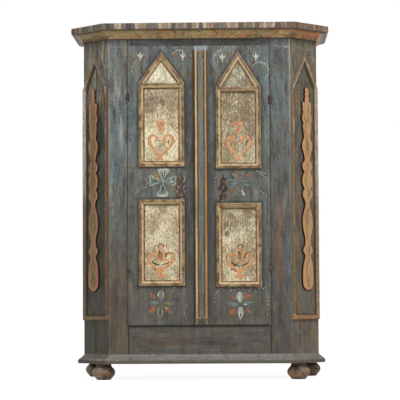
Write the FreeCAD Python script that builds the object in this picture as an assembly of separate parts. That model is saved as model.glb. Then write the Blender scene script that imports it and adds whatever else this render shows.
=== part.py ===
import FreeCAD, Part
import math
import os

# Painted two-door folk wardrobe with canted front corners, in millimetres.
# X runs to the right, Y to the back, Z up; the origin is under the middle of the cabinet, on the floor.

os.makedirs("parts", exist_ok=True)
Vec = FreeCAD.Vector
up = Vec(0, 0, 1)

# Whole cabinet
height = 1832.0            # floor to the top of the cornice board
front_half = 470.0         # half of the straight front, as far as the canted corners
cant = 139.0               # each canted corner, sideways and backwards
depth = 515.0              # carcass, front face to back
board = 25.0               # carcass boards
fit = 0.1                  # play of a tenon, tongue or leaf in its slot

# Base frame and feet
foot_height = 84.0
foot_radius = 58.5
foot_collar = 38.0
foot_tenon_radius = 14.0
foot_tenon = 18.0
foot_fit = 0.2
front_foot_side = 31.0     # foot centre beyond the end of the straight front
front_foot_back = 55.0     # foot centre behind the front face
rear_foot_side = 38.0      # foot centre inside the side face
rear_foot_back = 65.0      # foot centre in front of the back
base_height = 48.0
base_overhang = 33.0
base_nose = 22.0           # rounded part of the moulded edge
base_rebate = 24.0         # the boards stand this far down inside the frame
base_inside = 70.0         # frame rail inside the carcass face

# Cornice
slab_thickness = 32.0
slab_round = 5.0
cornice_overhang = 64.0
cove_height = 45.0
cove_setback = 12.0        # cornice board beyond the top of the cove
cove_foot = 5.0            # flat along the lower edge of the cove

# Inside
back_board = 12.0
back_board_count = 5
back_lap = 8.0             # rebated joint between two back boards
back_rebate = 13.0         # the back is let this far into the sides
floor_board = 20.0
shelf = 22.0
shelf_names = ["lower_shelf", "middle_shelf", "upper_shelf"]
shelf_setback = 62.0       # shelf front behind the front face
shelf_play = 1.0
bearer_width = 20.0
bearer_height = 30.0
bearer_end = 25.0          # bearer end to the canted corner and to the back

# Door openings and the shared door section
bottom_reveal = 150.0      # bottom rail in view below the doors
top_reveal = 37.0          # top rail in view above the doors
left_reveal = 101.5        # front stile in view beside each door
right_reveal = 109.2
meeting_offset = -30.0     # line where the doors meet, from the middle
door_gap = 3.0
door_proud = 12.0          # door front before the front face
door_thickness = 28.0
lip = 9.0                  # rebated door edge over the frame
lip_gap = 0.4
tongue_gap = 2.5           # door body inside the opening
rail_tenon = 40.0          # front rails in the front stiles
rail_tenon_thickness = 10.0
tenon_length = 24.0        # door rails in the door stiles
tenon_shoulder = 16.0
panel_set = 8.0            # panel face behind the door face
panel_thickness = 10.0
groove = 8.0
panel_play = 0.5

# Mouldings of the doors
moulding_width = 30.0
moulding_lap = 8.0         # moulding on the door frame, the rest lies on the panel
moulding_proud = 16.0
gable_top = 30.0           # gable peak below the door's top edge

# Left door, from its edges to the outside of its mouldings
left_hinge_margin = 55.5
left_meeting_margin = 46.5
left_bottom_margin = 199.5
left_lower_height = 443.0
left_lock_gap = 169.5
left_gable_rise = 162.0
left_hinge_drop = 266.0    # upper hinge below the door's top edge
left_hinge_rise = 263.0    # lower hinge above the door's bottom edge

# Right door
right_hinge_margin = 44.8
right_meeting_margin = 112.5
right_bottom_margin = 192.3
right_lower_height = 429.7
right_lock_gap = 177.8
right_gable_rise = 184.0
right_hinge_drop = 284.0
right_hinge_rise = 288.0

# Pintle hinges
hinge_offset = 8.5         # hinge axis before the front face
knuckle_radius = 8.0
knuckle_height = 38.0
pintle_share = 13.0        # lower part of the knuckle, which stays on the frame
knuckle_gap = 0.4
pin_radius = 4.0
pin_fit = 0.1
pin_cap = 3.0
leaf_thickness = 3.0
leaf_length = 34.0
pintle_tab = 20.0          # tab driven into the front stile
notch_gap = 0.8

# Meeting strip on the right door
strip_width = 72.5
strip_edge = 16.0          # thickness at the edges
strip_field = 20.0         # thickness between the beads
strip_bead = 20.0
strip_bead_inset = 2.0
strip_bead_proud = 6.0
strip_top_bevel = 26.0
strip_bottom_bevel = 38.0
strip_tip = 4.0            # thickness left at the bevelled ends

# Canted corners
corner_moulding_width = 28.0
corner_moulding_proud = 15.0
corner_bottom = 174.0      # frame above the base
corner_top = 74.0          # frame peak below the cove
corner_gable = 174.0
baluster_thickness = 13.0
baluster_half = 38.0
baluster_shift = 10.0      # beside the middle of the canted face, away from the doors
baluster_bottom = 152.0    # baluster above the bottom of its frame
baluster_top = 1.0         # tip below the shoulders of its frame

# Rim lock on the right door
keyhole_side = 148.0       # keyhole from the meeting edge
keyhole_rise = 83.0        # keyhole above the lower moulding
keyhole_radius = 3.5
keyhole_slot = 11.0
keyhole_slot_width = 3.4
case_inset = 2.5           # case end from the meeting edge
case_beyond = 45.0         # case beyond the keyhole
case_half = 47.0
case_depth = 24.0
case_wall = 2.0
bolt_height = 16.0
bolt_thickness = 8.0
bolt_stand = 7.0           # bolt behind the door's back
bolt_throw = 18.0
bolt_play = 0.4
bolt_tail = 22.0           # bolt end before the keyhole
talon = 9.0                # notch for the key in the bolt's tail
stud_radius = 3.5
spring_thickness = 1.2
spring_width = 6.0
keep_length = 26.0
keep_inset = 4.5           # keep end from the left door's meeting edge
keep_wall = 3.0
keep_flange = 12.0
escutcheon_height = 144.0
escutcheon_half = 27.0
escutcheon_thickness = 2.0
escutcheon_below = 77.0    # plate below the keyhole

# Slide bolts on the back of the left door
slide_inset = 27.0         # bolt axis from the left door's meeting edge
slide_half = 5.0           # half the bolt's thickness, which is square
slide_point = 1.5          # bevel round the bolt's tip
slide_length = 140.0
slide_throw = 20.0
slide_rest = 4.5           # bolt tip inside the door's tongue at rest
slide_play = 0.3
slide_plate = 2.5
slide_plate_half = 15.0
slide_plate_end = 8.0      # bolt beyond each end of its plate
slide_guide = 14.0
slide_guide_wall = 3.0
slide_lug = 14.0           # finger lug behind the bolt
slide_lug_half = 4.0
slide_lug_point = 2.0
slide_hole = 7.0           # half width of the notch that takes the bolt
slide_hole_play = 2.0

# Places that follow from the sizes
front_y = (cornice_overhang - depth) / 2
back_y = front_y + depth
side_half = front_half + cant
base_top = foot_height + base_height
ledge_z = base_top - base_rebate
slab_z = height - slab_thickness
cove_z = slab_z - cove_height
floor_z = ledge_z + floor_board
door_bottom = base_top + bottom_reveal
door_top = cove_z - top_reveal
door_front = front_y - door_proud
door_back = door_front + door_thickness
opening_bottom = door_bottom + lip
opening_top = door_top - lip
left_edge = left_reveal - front_half
right_edge = front_half - right_reveal
left_opening = left_edge + lip
right_opening = right_edge - lip
left_meeting = meeting_offset - door_gap / 2
right_meeting = meeting_offset + door_gap / 2
tongue_inset = lip + tongue_gap
hinge_y = front_y - hinge_offset
carcass_path = [
    Vec(-side_half, back_y, 0),
    Vec(-side_half, front_y + cant, 0),
    Vec(-front_half, front_y, 0),
    Vec(front_half, front_y, 0),
    Vec(side_half, front_y + cant, 0),
    Vec(side_half, back_y, 0),
]
nodes = {}


# Drawing helpers
def box(x_low, x_high, y_low, y_high, z_low, z_high):
    """Block between two corners, given in any order sideways."""
    x_start = min(x_low, x_high)
    return Part.makeBox(abs(x_high - x_low), y_high - y_low, z_high - z_low, Vec(x_start, y_low, z_low))


def outline_face(outline, place):
    """Face inside an outline: a pair ends a straight line, four numbers are an arc's middle and end."""
    here = place(*outline[0])
    edges = []
    for step in outline[1:] + outline[:1]:
        end = place(*step[-2:])
        if len(step) == 4:
            edges.append(Part.Arc(here, place(*step[:2]), end).toShape())
        elif here.distanceToPoint(end) > 1e-6:
            edges.append(Part.LineSegment(here, end).toShape())
        here = end
    return Part.Face(Part.Wire(edges))


def mirrored(half):
    """Whole outline from its right half, which runs up from the middle line and back to it."""
    left = []
    for index in range(len(half) - 1, 0, -1):
        middle = half[index][:-2]
        across, along = half[index - 1][-2:]
        step = (-across, along)
        if middle:
            step = (-middle[0], middle[1]) + step
        left.append(step)
    return half + left


def turned(outline, centre):
    """Solid of revolution on an upright axis from an outline of radius and height."""
    face = outline_face(outline, lambda radius, z: Vec(radius, 0, z))
    solid = face.revolve(Vec(0, 0, 0), up, 360)
    solid.translate(centre)
    return solid


def offset_path(path, distance, closed=False):
    """The path moved to its right by a distance, with mitred corners."""
    count = len(path)
    runs = count if closed else count - 1
    normals = []
    for index in range(runs):
        run = path[(index + 1) % count] - path[index]
        run.normalize()
        normals.append(Vec(run.y, -run.x, 0))
    moved = []
    for index in range(count):
        before = normals[index - 1] if closed or index > 0 else normals[0]
        after = normals[index] if index < runs else normals[-1]
        shift = (before + after) * (distance / (1 + before.dot(after)))
        moved.append(path[index] + shift)
    return moved


def prism(points, low, high):
    """Upright prism over a plan."""
    ring = [Vec(point.x, point.y, low) for point in points]
    face = Part.Face(Part.makePolygon(ring + ring[:1]))
    return face.extrude(up * (high - low))


def mitred_run(outer, inner, profile, closed=False):
    """One stick for each side of the outer line, cut at its mitres.
    The profile gives the distance in from the outer line and the height over the plane."""
    reach = 2 * max(abs(value) for step in profile for value in step)
    sticks = []
    for index in range(len(outer) if closed else len(outer) - 1):
        following = (index + 1) % len(outer)
        start = outer[index]
        run = outer[following] - start
        length = run.Length
        run.normalize()
        inward = Vec(-run.y, run.x, 0)
        overrun = run * reach
        section = outline_face(profile, lambda side, rise: start - overrun + inward * side + up * rise)
        bar = section.extrude(run * length + overrun * 2)
        cut = prism([start, outer[following], inner[following], inner[index]], -reach, reach)
        sticks.append(bar.common(cut).Solids[0])
    return sticks


def facing(origin, outward):
    """Placement of a drawing on an upright face: x sideways, y up and z out of the face."""
    side = up.cross(outward)
    return FreeCAD.Placement(FreeCAD.Matrix(
        side.x, 0, outward.x, origin.x,
        side.y, 0, outward.y, origin.y,
        side.z, 1, outward.z, origin.z,
        0, 0, 0, 1))


def placed(shapes, placement):
    """Shapes moved from their drawing to their place."""
    for shape in shapes:
        shape.Placement = placement
    return shapes


def cylinder(radius, low, high, x, y):
    """Upright cylinder."""
    return Part.makeCylinder(radius, high - low, Vec(x, y, low))


def keep(name, *shapes):
    """Store the solids of one piece."""
    solids = [solid for shape in shapes for solid in shape.Solids]
    nodes[name] = solids[0] if len(solids) == 1 else Part.makeCompound(solids)


# Feet, turned with a tenon that enters the base frame
right_feet = {
    "front_feet": Vec(front_half + front_foot_side, front_y + front_foot_back, 0),
    "rear_feet": Vec(side_half - rear_foot_side, back_y - rear_foot_back, 0),
}
foot_places = {name: [Vec(-place.x, place.y, 0), place] for name, place in right_feet.items()}


def make_feet():
    """Bun feet: a ball cut off above and below, and a collar under the frame."""
    belly = 0.38 * foot_height
    half_belt = 0.22 * foot_height
    belt_radius = math.sqrt(foot_radius ** 2 - half_belt ** 2)
    outline = [
        (0, 0),
        (0.63 * foot_radius, 0),
        (belt_radius, belly - half_belt),
        (foot_radius, belly, belt_radius, belly + half_belt),
        (foot_collar, 0.8 * foot_height),
        (foot_collar, foot_height),
        (foot_tenon_radius, foot_height),
        (foot_tenon_radius, foot_height + foot_tenon),
        (0, foot_height + foot_tenon),
    ]
    for name, centres in foot_places.items():
        keep(name, *[turned(outline, centre) for centre in centres])


# Base frame: mitred moulded rails that the boards stand in
def make_base():
    """Front, canted and side rails with a rounded nose and a hollow above it, and a plain back rail."""
    outer = offset_path(carcass_path, base_overhang)
    inner = offset_path(carcass_path, -base_inside)
    ease = 0.2 * base_nose
    nose_z = foot_height + base_nose
    hollow_z = nose_z + 0.42 * (base_top - nose_z)
    profile = [
        (ease, foot_height),
        (0, foot_height + base_nose / 2, ease, nose_z),
        (0.63 * base_overhang, hollow_z, base_overhang, base_top),
        (base_overhang, ledge_z),
        (base_overhang + base_inside, ledge_z),
        (base_overhang + base_inside, foot_height),
    ]
    sticks = mitred_run(outer, inner, profile)
    bores = []
    for centres in foot_places.values():
        for centre in centres:
            top = foot_height + foot_tenon + foot_fit
            bores.append(cylinder(foot_tenon_radius + foot_fit, foot_height - 1, top, centre.x, centre.y))
    sticks = [stick.cut(Part.makeCompound(bores)) for stick in sticks]
    keep("base_left_rails", sticks[0], sticks[1])
    keep("base_front_rail", sticks[2])
    keep("base_right_rails", sticks[3], sticks[4])
    inside = side_half - base_inside
    keep("base_back_rail", box(-inside, inside, back_y - base_inside, back_y, foot_height, ledge_z))


# Carcass boards, mitred where the plan turns
def front_tenon(low, high, play):
    """Tenons of a front rail, right through from one stile to the other."""
    middle = front_y + board / 2
    half = rail_tenon_thickness / 2 + play
    reach = rail_tenon + play
    return box(left_opening - reach, right_opening + reach, middle - half, middle + half,
               low + tenon_shoulder - play, high - tenon_shoulder + play)


def slide_bolt_axis():
    """Plan place of the slide bolts' common axis."""
    stand = slide_plate + slide_half + slide_play
    return Vec(left_meeting - slide_inset, door_back + stand, 0)


def bolt_notch(low, high):
    """Notch from the back of a front rail that takes a slide bolt."""
    axis = slide_bolt_axis()
    return box(axis.x - slide_hole, axis.x + slide_hole, axis.y - slide_half - 1, front_y + board + 1,
               low, high)


def make_carcass():
    """Sides, canted corner boards, front stiles and rails, back, floor and cornice board."""
    inner = offset_path(carcass_path, -board)
    sides = {"left": (0, 1, 2), "right": (5, 4, 3)}
    openings = {"left": left_opening, "right": right_opening}
    edges = {"left": left_edge, "right": right_edge}
    top_rail_z = (opening_top, slab_z)
    bottom_rail_z = (ledge_z, opening_bottom)
    mortises = [front_tenon(*top_rail_z, fit), front_tenon(*bottom_rail_z, fit)]
    for side, (rear, bend, corner) in sides.items():
        outward = -1 if side == "left" else 1
        panel = prism([carcass_path[rear], carcass_path[bend], inner[bend], inner[rear]], ledge_z, slab_z)
        rebate_x = outward * (side_half - back_rebate)
        rebate = box(0, rebate_x, back_y - back_board, back_y + 1, ledge_z - 1, slab_z + 1)
        keep(side + "_side_panel", panel.cut(rebate))
        corner_plan = [carcass_path[bend], carcass_path[corner], inner[corner], inner[bend]]
        keep(side + "_corner_board", prism(corner_plan, ledge_z, slab_z))
        opening = openings[side]
        opening_front = Vec(opening, front_y, 0)
        opening_back = Vec(opening, front_y + board, 0)
        stile = prism([carcass_path[corner], opening_front, opening_back, inner[corner]], ledge_z, slab_z)
        tabs = [pintle_tab_block(edges[side], z, fit) for z in hinge_heights(side)]
        keep(side + "_front_stile", stile.cut(Part.makeCompound(mortises)).cut(Part.makeCompound(tabs)))
    for name, (low, high) in {"top_rail": top_rail_z, "bottom_rail": bottom_rail_z}.items():
        rail = box(left_opening, right_opening, front_y, front_y + board, low, high)
        rail = rail.fuse(front_tenon(low, high, 0)).removeSplitter()
        reach = slide_throw - slide_rest - tongue_gap + slide_hole_play
        if name == "top_rail":
            notch = bolt_notch(low - 1, low + reach)
        else:
            notch = bolt_notch(high - reach, high + 1)
        keep(name, rail.cut(notch))
    floor_back = back_y - back_board
    floor_plan = [Vec(inner[0].x, floor_back, 0)] + inner[1:5] + [Vec(inner[5].x, floor_back, 0)]
    keep("floor_board", prism(floor_plan, ledge_z, floor_z))
    slab_plan = offset_path(carcass_path, cornice_overhang)
    slab = prism(slab_plan, slab_z, height)
    level = [edge for edge in slab.Edges if edge.BoundBox.ZLength < 1e-6]
    rims = [edge for edge in level if edge.BoundBox.YMin < back_y - 1e-6]
    keep("cornice_board", slab.makeFillet(slab_round, rims))


def make_back():
    """Upright back boards with rebated joints, let into the sides."""
    width = 2 * (side_half - back_rebate) / back_board_count
    middle = back_y - back_board / 2
    boards = []
    for index in range(back_board_count):
        start = -(side_half - back_rebate) + index * width
        end = start + width
        first = index == 0
        last = index == back_board_count - 1
        inner_end = end if last else end - back_lap
        inside = box(start, inner_end, back_y - back_board, middle, ledge_z, slab_z)
        outside = box(start - (0 if first else back_lap), end, middle, back_y, ledge_z, slab_z)
        whole = inside.fuse(outside)
        if not last:
            whole = whole.cut(box(end - back_lap - fit, end + 1, middle, back_y + 1, ledge_z - 1, slab_z + 1))
        boards.append(whole.removeSplitter())
    keep("back_boards", *boards)


def make_shelves():
    """Loose shelves cut to the inside plan, on bearers fixed to the sides."""
    inner = offset_path(carcass_path, -(board + shelf_play))
    shelf_front = front_y + shelf_setback
    shelf_back = back_y - back_board - shelf_play
    corner_x = inner[3].x + shelf_front - inner[3].y
    half_plan = [(inner[4].x, shelf_back), (inner[4].x, inner[4].y), (corner_x, shelf_front)]
    plan = [Vec(x, y, 0) for x, y in half_plan] + [Vec(-x, y, 0) for x, y in reversed(half_plan)]
    clear = (slab_z - floor_z - len(shelf_names) * shelf) / (len(shelf_names) + 1)
    bearers = []
    for index, name in enumerate(shelf_names):
        low = floor_z + clear + index * (clear + shelf)
        keep(name, prism(plan, low, low + shelf))
        wall = side_half - board
        for side in (-1, 1):
            bearers.append(box(side * (wall - bearer_width), side * wall, front_y + cant + bearer_end,
                               back_y - back_board - bearer_end, low - bearer_height, low))
    keep("shelf_bearers", *bearers)


# Cove under the cornice board
def make_cove():
    """Hollow moulding in mitred lengths round the front, the canted corners and the sides."""
    spread = cornice_overhang - cove_setback
    outer = offset_path(carcass_path, spread)
    dip = spread - cove_foot
    bend = math.sqrt(0.5)
    hollow_z = slab_z - cove_foot - (cove_height - 2 * cove_foot) * (1 - bend)
    profile = [
        (0, slab_z),
        (0, slab_z - cove_foot),
        (dip * bend, hollow_z, dip, cove_z + cove_foot),
        (dip, cove_z),
        (spread, cove_z),
        (spread, slab_z),
    ]
    sticks = mitred_run(outer, carcass_path, profile)
    keep("cornice_left_cove", sticks[0], sticks[1])
    keep("cornice_front_cove", sticks[2])
    keep("cornice_right_cove", sticks[3], sticks[4])


# Canted corners: a gabled moulding frame and a sawn baluster
def applied_profile(width, proud):
    """Rounded moulding with a quirk on its inner side, flat behind."""
    return [
        (0, 0),
        (0, 0.5 * proud),
        (0.14 * width, 0.88 * proud),
        (0.36 * width, proud, 0.6 * width, 0.84 * proud),
        (0.72 * width, 0.5 * proud),
        (width, 0.28 * proud),
        (width, 0),
    ]


def baluster_outline(low, high):
    """Sawn outline: a round foot, then lobes, rings and hollows up to a beaded tip.
    Each step is its rise, its width halfway up and its width at the end, in shares of the half width."""
    steps = [
        (2.64, 1.0, 0.85),
        (0.96, 0.63, 0.52),
        (0.52, 0.62, 0.9),
        (0.85, 0.87, 0.57),
        (1.48, 0.5, 0.6),
        (3.71, 0.97, 0.5),
        (1.43, 0.42, 0.84),
        (1.14, 0.9, 0.55),
        (2.39, 0.97, 0.5),
        (1.46, 0.95, 0.46),
        (1.28, 0.56, 0.76),
        (1.81, 0.98, 0.58),
        (1.69, 0.67, 0.82),
        (0.34, 0.77, 0.62),
        (1.48, 0.92, 0.7),
        (1.47, 0.83, 0.82),
    ]
    tip_start = 0.36
    tip = [(0.82, 0.39, 0.24), (0.58, 0.35, 0.22), (0.62, 0.32, 0)]
    foot = baluster_half
    bend = math.sqrt(0.5)
    stretch = (high - low) / (1 + sum(step[0] for step in steps + tip))
    z = low + stretch
    half = [(0, low), (foot * bend, low + stretch * (1 - bend), foot, z)]
    for rise, middle, end in steps:
        half.append((foot * middle, z + rise * stretch / 2, foot * end, z + rise * stretch))
        z += rise * stretch
    half.append((foot * tip_start, z))
    for rise, middle, end in tip:
        half.append((foot * middle, z + rise * stretch / 2, foot * end, z + rise * stretch))
        z += rise * stretch
    return mirrored(half)


def make_corners():
    """Moulding frames and balusters on the two canted faces."""
    half = cant / math.sqrt(2)
    low = base_top + corner_bottom
    peak = cove_z - corner_top
    shoulder = peak - corner_gable
    outer = rectangle(-half, half, low, shoulder)
    outer.insert(3, Vec(0, peak, 0))
    inner = offset_path(outer, -corner_moulding_width, closed=True)
    profile = applied_profile(corner_moulding_width, corner_moulding_proud)
    outline = baluster_outline(low + baluster_bottom, shoulder - baluster_top)
    for side, outward in {"left": -1, "right": 1}.items():
        middle = Vec(outward * (front_half + cant / 2), front_y + cant / 2, 0)
        face = facing(middle, Vec(outward, -1, 0).normalize())
        keep(side + "_corner_moulding", *placed(mitred_run(outer, inner, profile, closed=True), face))
        shift = outward * baluster_shift
        plate = outline_face(outline, lambda x, y: Vec(x + shift, y, 0)).extrude(up * baluster_thickness)
        keep(side + "_corner_baluster", *placed([plate], face))


# Pintle hinges
def hinge_heights(side):
    """Middle of each knuckle."""
    if side == "left":
        return [door_bottom + left_hinge_rise, door_top - left_hinge_drop]
    return [door_bottom + right_hinge_rise, door_top - right_hinge_drop]


def pintle_tab_block(edge, z, play):
    """Flat tab of a pintle, driven into the front stile."""
    half = leaf_thickness / 2 + play
    low = z - knuckle_height / 2
    return box(edge - half, edge + half, hinge_y, front_y + pintle_tab + play,
               low - play, low + pintle_share + play)


def make_pintle(edge, z):
    """Lower knuckle with its tab and the pin that the door hangs on."""
    low = z - knuckle_height / 2
    seat = low + pintle_share
    pin = cylinder(pin_radius, seat, z + knuckle_height / 2 + pin_cap, edge, hinge_y)
    barrel = cylinder(knuckle_radius, low, seat, edge, hinge_y)
    return barrel.fuse(pin).fuse(pintle_tab_block(edge, z, 0)).removeSplitter()


def door_leaf_block(edge, inward, z, play):
    """Leaf of the door's knuckle, let into the hinge stile."""
    half = leaf_thickness / 2 + play
    low = z - knuckle_height / 2 + pintle_share + knuckle_gap
    return box(edge, edge + inward * (leaf_length + play), hinge_y - half, hinge_y + half,
               low - play, z + knuckle_height / 2 + play)


def make_knuckle(edge, inward, z):
    """Upper knuckle, which turns on the pin with the door."""
    low = z - knuckle_height / 2 + pintle_share + knuckle_gap
    high = z + knuckle_height / 2
    barrel = cylinder(knuckle_radius, low, high, edge, hinge_y)
    bore = cylinder(pin_radius + pin_fit, low - 1, high + 1, edge, hinge_y)
    return barrel.fuse(door_leaf_block(edge, inward, z, 0)).cut(bore).removeSplitter()


def hinge_notch(edge, z):
    """Room for a knuckle in the rebated edge of the door."""
    low = z - knuckle_height / 2 - notch_gap
    high = z + knuckle_height / 2 + pin_cap + notch_gap
    return cylinder(knuckle_radius + notch_gap, low, high, edge, hinge_y)


# Doors: mortised frames, grooved panels and mouldings that cover the panel edges
def bolection_profile():
    """Moulding that laps the frame and steps back on to the panel."""
    width = moulding_width
    proud = moulding_proud
    return [
        (0, 0),
        (0, 0.5 * proud),
        (0.14 * width, 0.88 * proud),
        (0.36 * width, proud, 0.58 * width, 0.84 * proud),
        (0.7 * width, 0.35 * proud),
        (width, -0.35 * panel_set),
        (width, -panel_set),
        (moulding_lap, -panel_set),
        (moulding_lap, 0),
    ]


def rectangle(x_low, x_high, z_low, z_high):
    """Anticlockwise rectangle on an upright face."""
    return [Vec(x_low, z_low, 0), Vec(x_high, z_low, 0), Vec(x_high, z_high, 0), Vec(x_low, z_high, 0)]


def door_heights(side):
    """Outer edges of the two mouldings and the gable's peak, from the bottom."""
    if side == "left":
        margin, lower, gap, rise = left_bottom_margin, left_lower_height, left_lock_gap, left_gable_rise
    else:
        margin, lower, gap, rise = right_bottom_margin, right_lower_height, right_lock_gap, right_gable_rise
    low = door_bottom + margin
    peak = door_top - gable_top
    return low, low + lower, low + lower + gap, peak - rise, peak


def make_gable(x_low, x_high, foot, peak):
    """Two sticks over the upper panel, mitred at the peak and cut level at the foot."""
    middle = (x_low + x_high) / 2
    slope = math.atan2(peak - foot, middle - x_low)
    foot_cut = moulding_width / math.sin(slope)
    peak_cut = moulding_width / math.cos(slope)
    outer = [Vec(x_high, foot, 0), Vec(middle, peak, 0), Vec(x_low, foot, 0)]
    inner = [Vec(x_high - foot_cut, foot, 0), Vec(middle, peak - peak_cut, 0), Vec(x_low + foot_cut, foot, 0)]
    return mitred_run(outer, inner, applied_profile(moulding_width, moulding_proud))


def make_door(side, edge, meeting, hinge_margin, meeting_margin):
    """All the pieces of one door. Distances across it run from the hinge edge."""
    inward = 1 if meeting > edge else -1
    width = abs(meeting - edge)
    lower_low, lower_high, upper_low, upper_high, peak = door_heights(side)
    sight_hinge = hinge_margin + moulding_lap
    sight_meeting = width - meeting_margin - moulding_lap
    panel_back = panel_set + panel_thickness

    def block(near, far, z_low, z_high, front, back):
        return box(edge + inward * near, edge + inward * far, door_front + front, door_front + back,
                   z_low, z_high)

    def tenon(z_low, z_high, play):
        return block(sight_hinge - tenon_length - play, sight_meeting + tenon_length + play,
                     z_low + tenon_shoulder - play, z_high - tenon_shoulder + play,
                     panel_set - play, panel_back + play)

    rails = {
        "bottom_rail": (door_bottom, lower_low + moulding_lap),
        "lock_rail": (lower_high - moulding_lap, upper_low + moulding_lap),
        "top_rail": (upper_high - moulding_lap, door_top),
    }
    panels = {
        "lower_panel": (lower_low + moulding_lap, lower_high - moulding_lap),
        "upper_panel": (upper_low + moulding_lap, upper_high - moulding_lap),
    }
    rebate_front = door_proud - lip_gap
    cuts = [
        block(-1, tongue_inset, door_bottom - 1, door_top + 1, rebate_front, door_thickness + 1),
        block(-1, width + 1, door_bottom - 1, door_bottom + tongue_inset, rebate_front, door_thickness + 1),
        block(-1, width + 1, door_top - tongue_inset, door_top + 1, rebate_front, door_thickness + 1),
    ]
    for z_low, z_high in panels.values():
        cuts.append(block(sight_hinge - groove, sight_meeting + groove, z_low - groove, z_high + groove,
                          panel_set - fit, panel_back + fit))
    mortises = [tenon(z_low, z_high, fit) for z_low, z_high in rails.values()]
    heights = hinge_heights(side)
    hinge_cuts = [hinge_notch(edge, z) for z in heights]
    hinge_cuts += [door_leaf_block(edge, inward, z, fit) for z in heights]

    hinge_stile = block(0, sight_hinge, door_bottom, door_top, 0, door_thickness)
    meeting_stile = block(sight_meeting, width, door_bottom, door_top, 0, door_thickness)
    for cutter in cuts + mortises + hinge_cuts:
        hinge_stile = hinge_stile.cut(cutter)
    for cutter in cuts + mortises:
        meeting_stile = meeting_stile.cut(cutter)
    prefix = side + "_door_"
    keep(prefix + "hinge_stile", hinge_stile)
    keep(prefix + "meeting_stile", meeting_stile)
    for name, (z_low, z_high) in rails.items():
        rail = block(sight_hinge, sight_meeting, z_low, z_high, 0, door_thickness)
        for cutter in cuts:
            rail = rail.cut(cutter)
        rail = rail.fuse(tenon(z_low, z_high, 0)).removeSplitter()
        if side == "right" and name == "lock_rail":
            rail = rail.cut(keyhole(door_front - 1, door_back + 1))
        keep(prefix + name, rail)
    reach = groove - panel_play
    for name, (z_low, z_high) in panels.items():
        keep(prefix + name, block(sight_hinge - reach, sight_meeting + reach, z_low - reach, z_high + reach,
                                  panel_set, panel_back))
    face = facing(Vec(0, door_front, 0), Vec(0, -1, 0))
    sides = sorted([edge + inward * hinge_margin, meeting - inward * meeting_margin])
    lower = rectangle(*sides, lower_low, lower_high)
    upper = rectangle(*sides, upper_low, upper_high)
    frames = {}
    for name, outer in {"lower_moulding": lower, "upper_moulding": upper}.items():
        inner = offset_path(outer, -moulding_width, closed=True)
        frames[name] = mitred_run(outer, inner, bolection_profile(), closed=True)
    frames["upper_moulding"] += make_gable(*sides, upper_high, peak)
    for name, sticks in frames.items():
        keep(prefix + name, *placed(sticks, face))
    keep(prefix + "hinge_knuckles", *[make_knuckle(edge, inward, z) for z in heights])
    keep(side + "_hinge_pintles", *[make_pintle(edge, z) for z in heights])


def make_strip():
    """Moulded strip along the right door's meeting edge: two beads and a field, with bevelled ends."""
    far = strip_width - strip_bead_inset
    bead = strip_bead / 2
    crest = strip_field + strip_bead_proud
    profile = [
        (0, 0),
        (0, strip_edge),
        (strip_bead_inset, strip_edge + 1),
        (strip_bead_inset + bead, crest, strip_bead_inset + strip_bead, strip_field),
        (far - strip_bead, strip_field),
        (far - bead, crest, far, strip_edge + 1),
        (strip_width, strip_edge),
        (strip_width, 0),
    ]
    face = outline_face(profile, lambda x, out: Vec(right_meeting + x, door_front - out, door_bottom))
    strip = face.extrude(up * (door_top - door_bottom))
    beyond = crest + 1
    slope_top = (crest - strip_tip) / strip_top_bevel
    slope_bottom = (crest - strip_tip) / strip_bottom_bevel
    bevels = [
        [(beyond, door_top - strip_top_bevel - 1 / slope_top), (beyond, door_top + 1),
         (strip_tip - slope_top, door_top + 1)],
        [(beyond, door_bottom + strip_bottom_bevel + 1 / slope_bottom), (beyond, door_bottom - 1),
         (strip_tip - slope_bottom, door_bottom - 1)],
    ]
    for bevel in bevels:
        wedge = outline_face(bevel, lambda out, z: Vec(right_meeting - 1, door_front - out, z))
        strip = strip.cut(wedge.extrude(Vec(strip_width + 2, 0, 0)))
    keep("meeting_strip", strip)


# Lock on the right door: case, bolt, spring, keyhole plate and the keep on the left door
def keyhole_place():
    """Middle of the round part of the keyhole."""
    return right_meeting + keyhole_side, door_heights("right")[1] + keyhole_rise


def keyhole(y_low, y_high):
    """Round hole with a slot below it."""
    x, z = keyhole_place()
    half = keyhole_slot_width / 2
    hole = Part.makeCylinder(keyhole_radius, y_high - y_low, Vec(x, y_low, z), Vec(0, 1, 0))
    return hole.fuse(box(x - half, x + half, y_low, y_high, z - keyhole_slot, z)).removeSplitter()


def make_escutcheon():
    """Sawn iron plate: a drop below, a waist, hooked wings and a pointed crown.
    Its outline is in shares of its half width and its height."""
    x, z = keyhole_place()
    low = z - escutcheon_below
    front = door_front - escutcheon_thickness
    half = [
        (0, 0),
        (0.33, 0.06),
        (0.7, 0.09),
        (0.98, 0.17, 0.7, 0.26),
        (0.5, 0.31, 0.6, 0.38),
        (1, 0.46),
        (1, 0.54, 0.67, 0.61),
        (0.55, 0.65, 0.67, 0.7),
        (0.96, 0.73),
        (0.85, 0.79),
        (0.37, 0.87),
        (0, 1),
    ]
    face = outline_face(mirrored(half), lambda across, along: Vec(
        x + across * escutcheon_half, front, low + along * escutcheon_height))
    plate = face.extrude(Vec(0, escutcheon_thickness, 0))
    keep("escutcheon", plate.cut(keyhole(front - 1, door_front + 1)))


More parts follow.
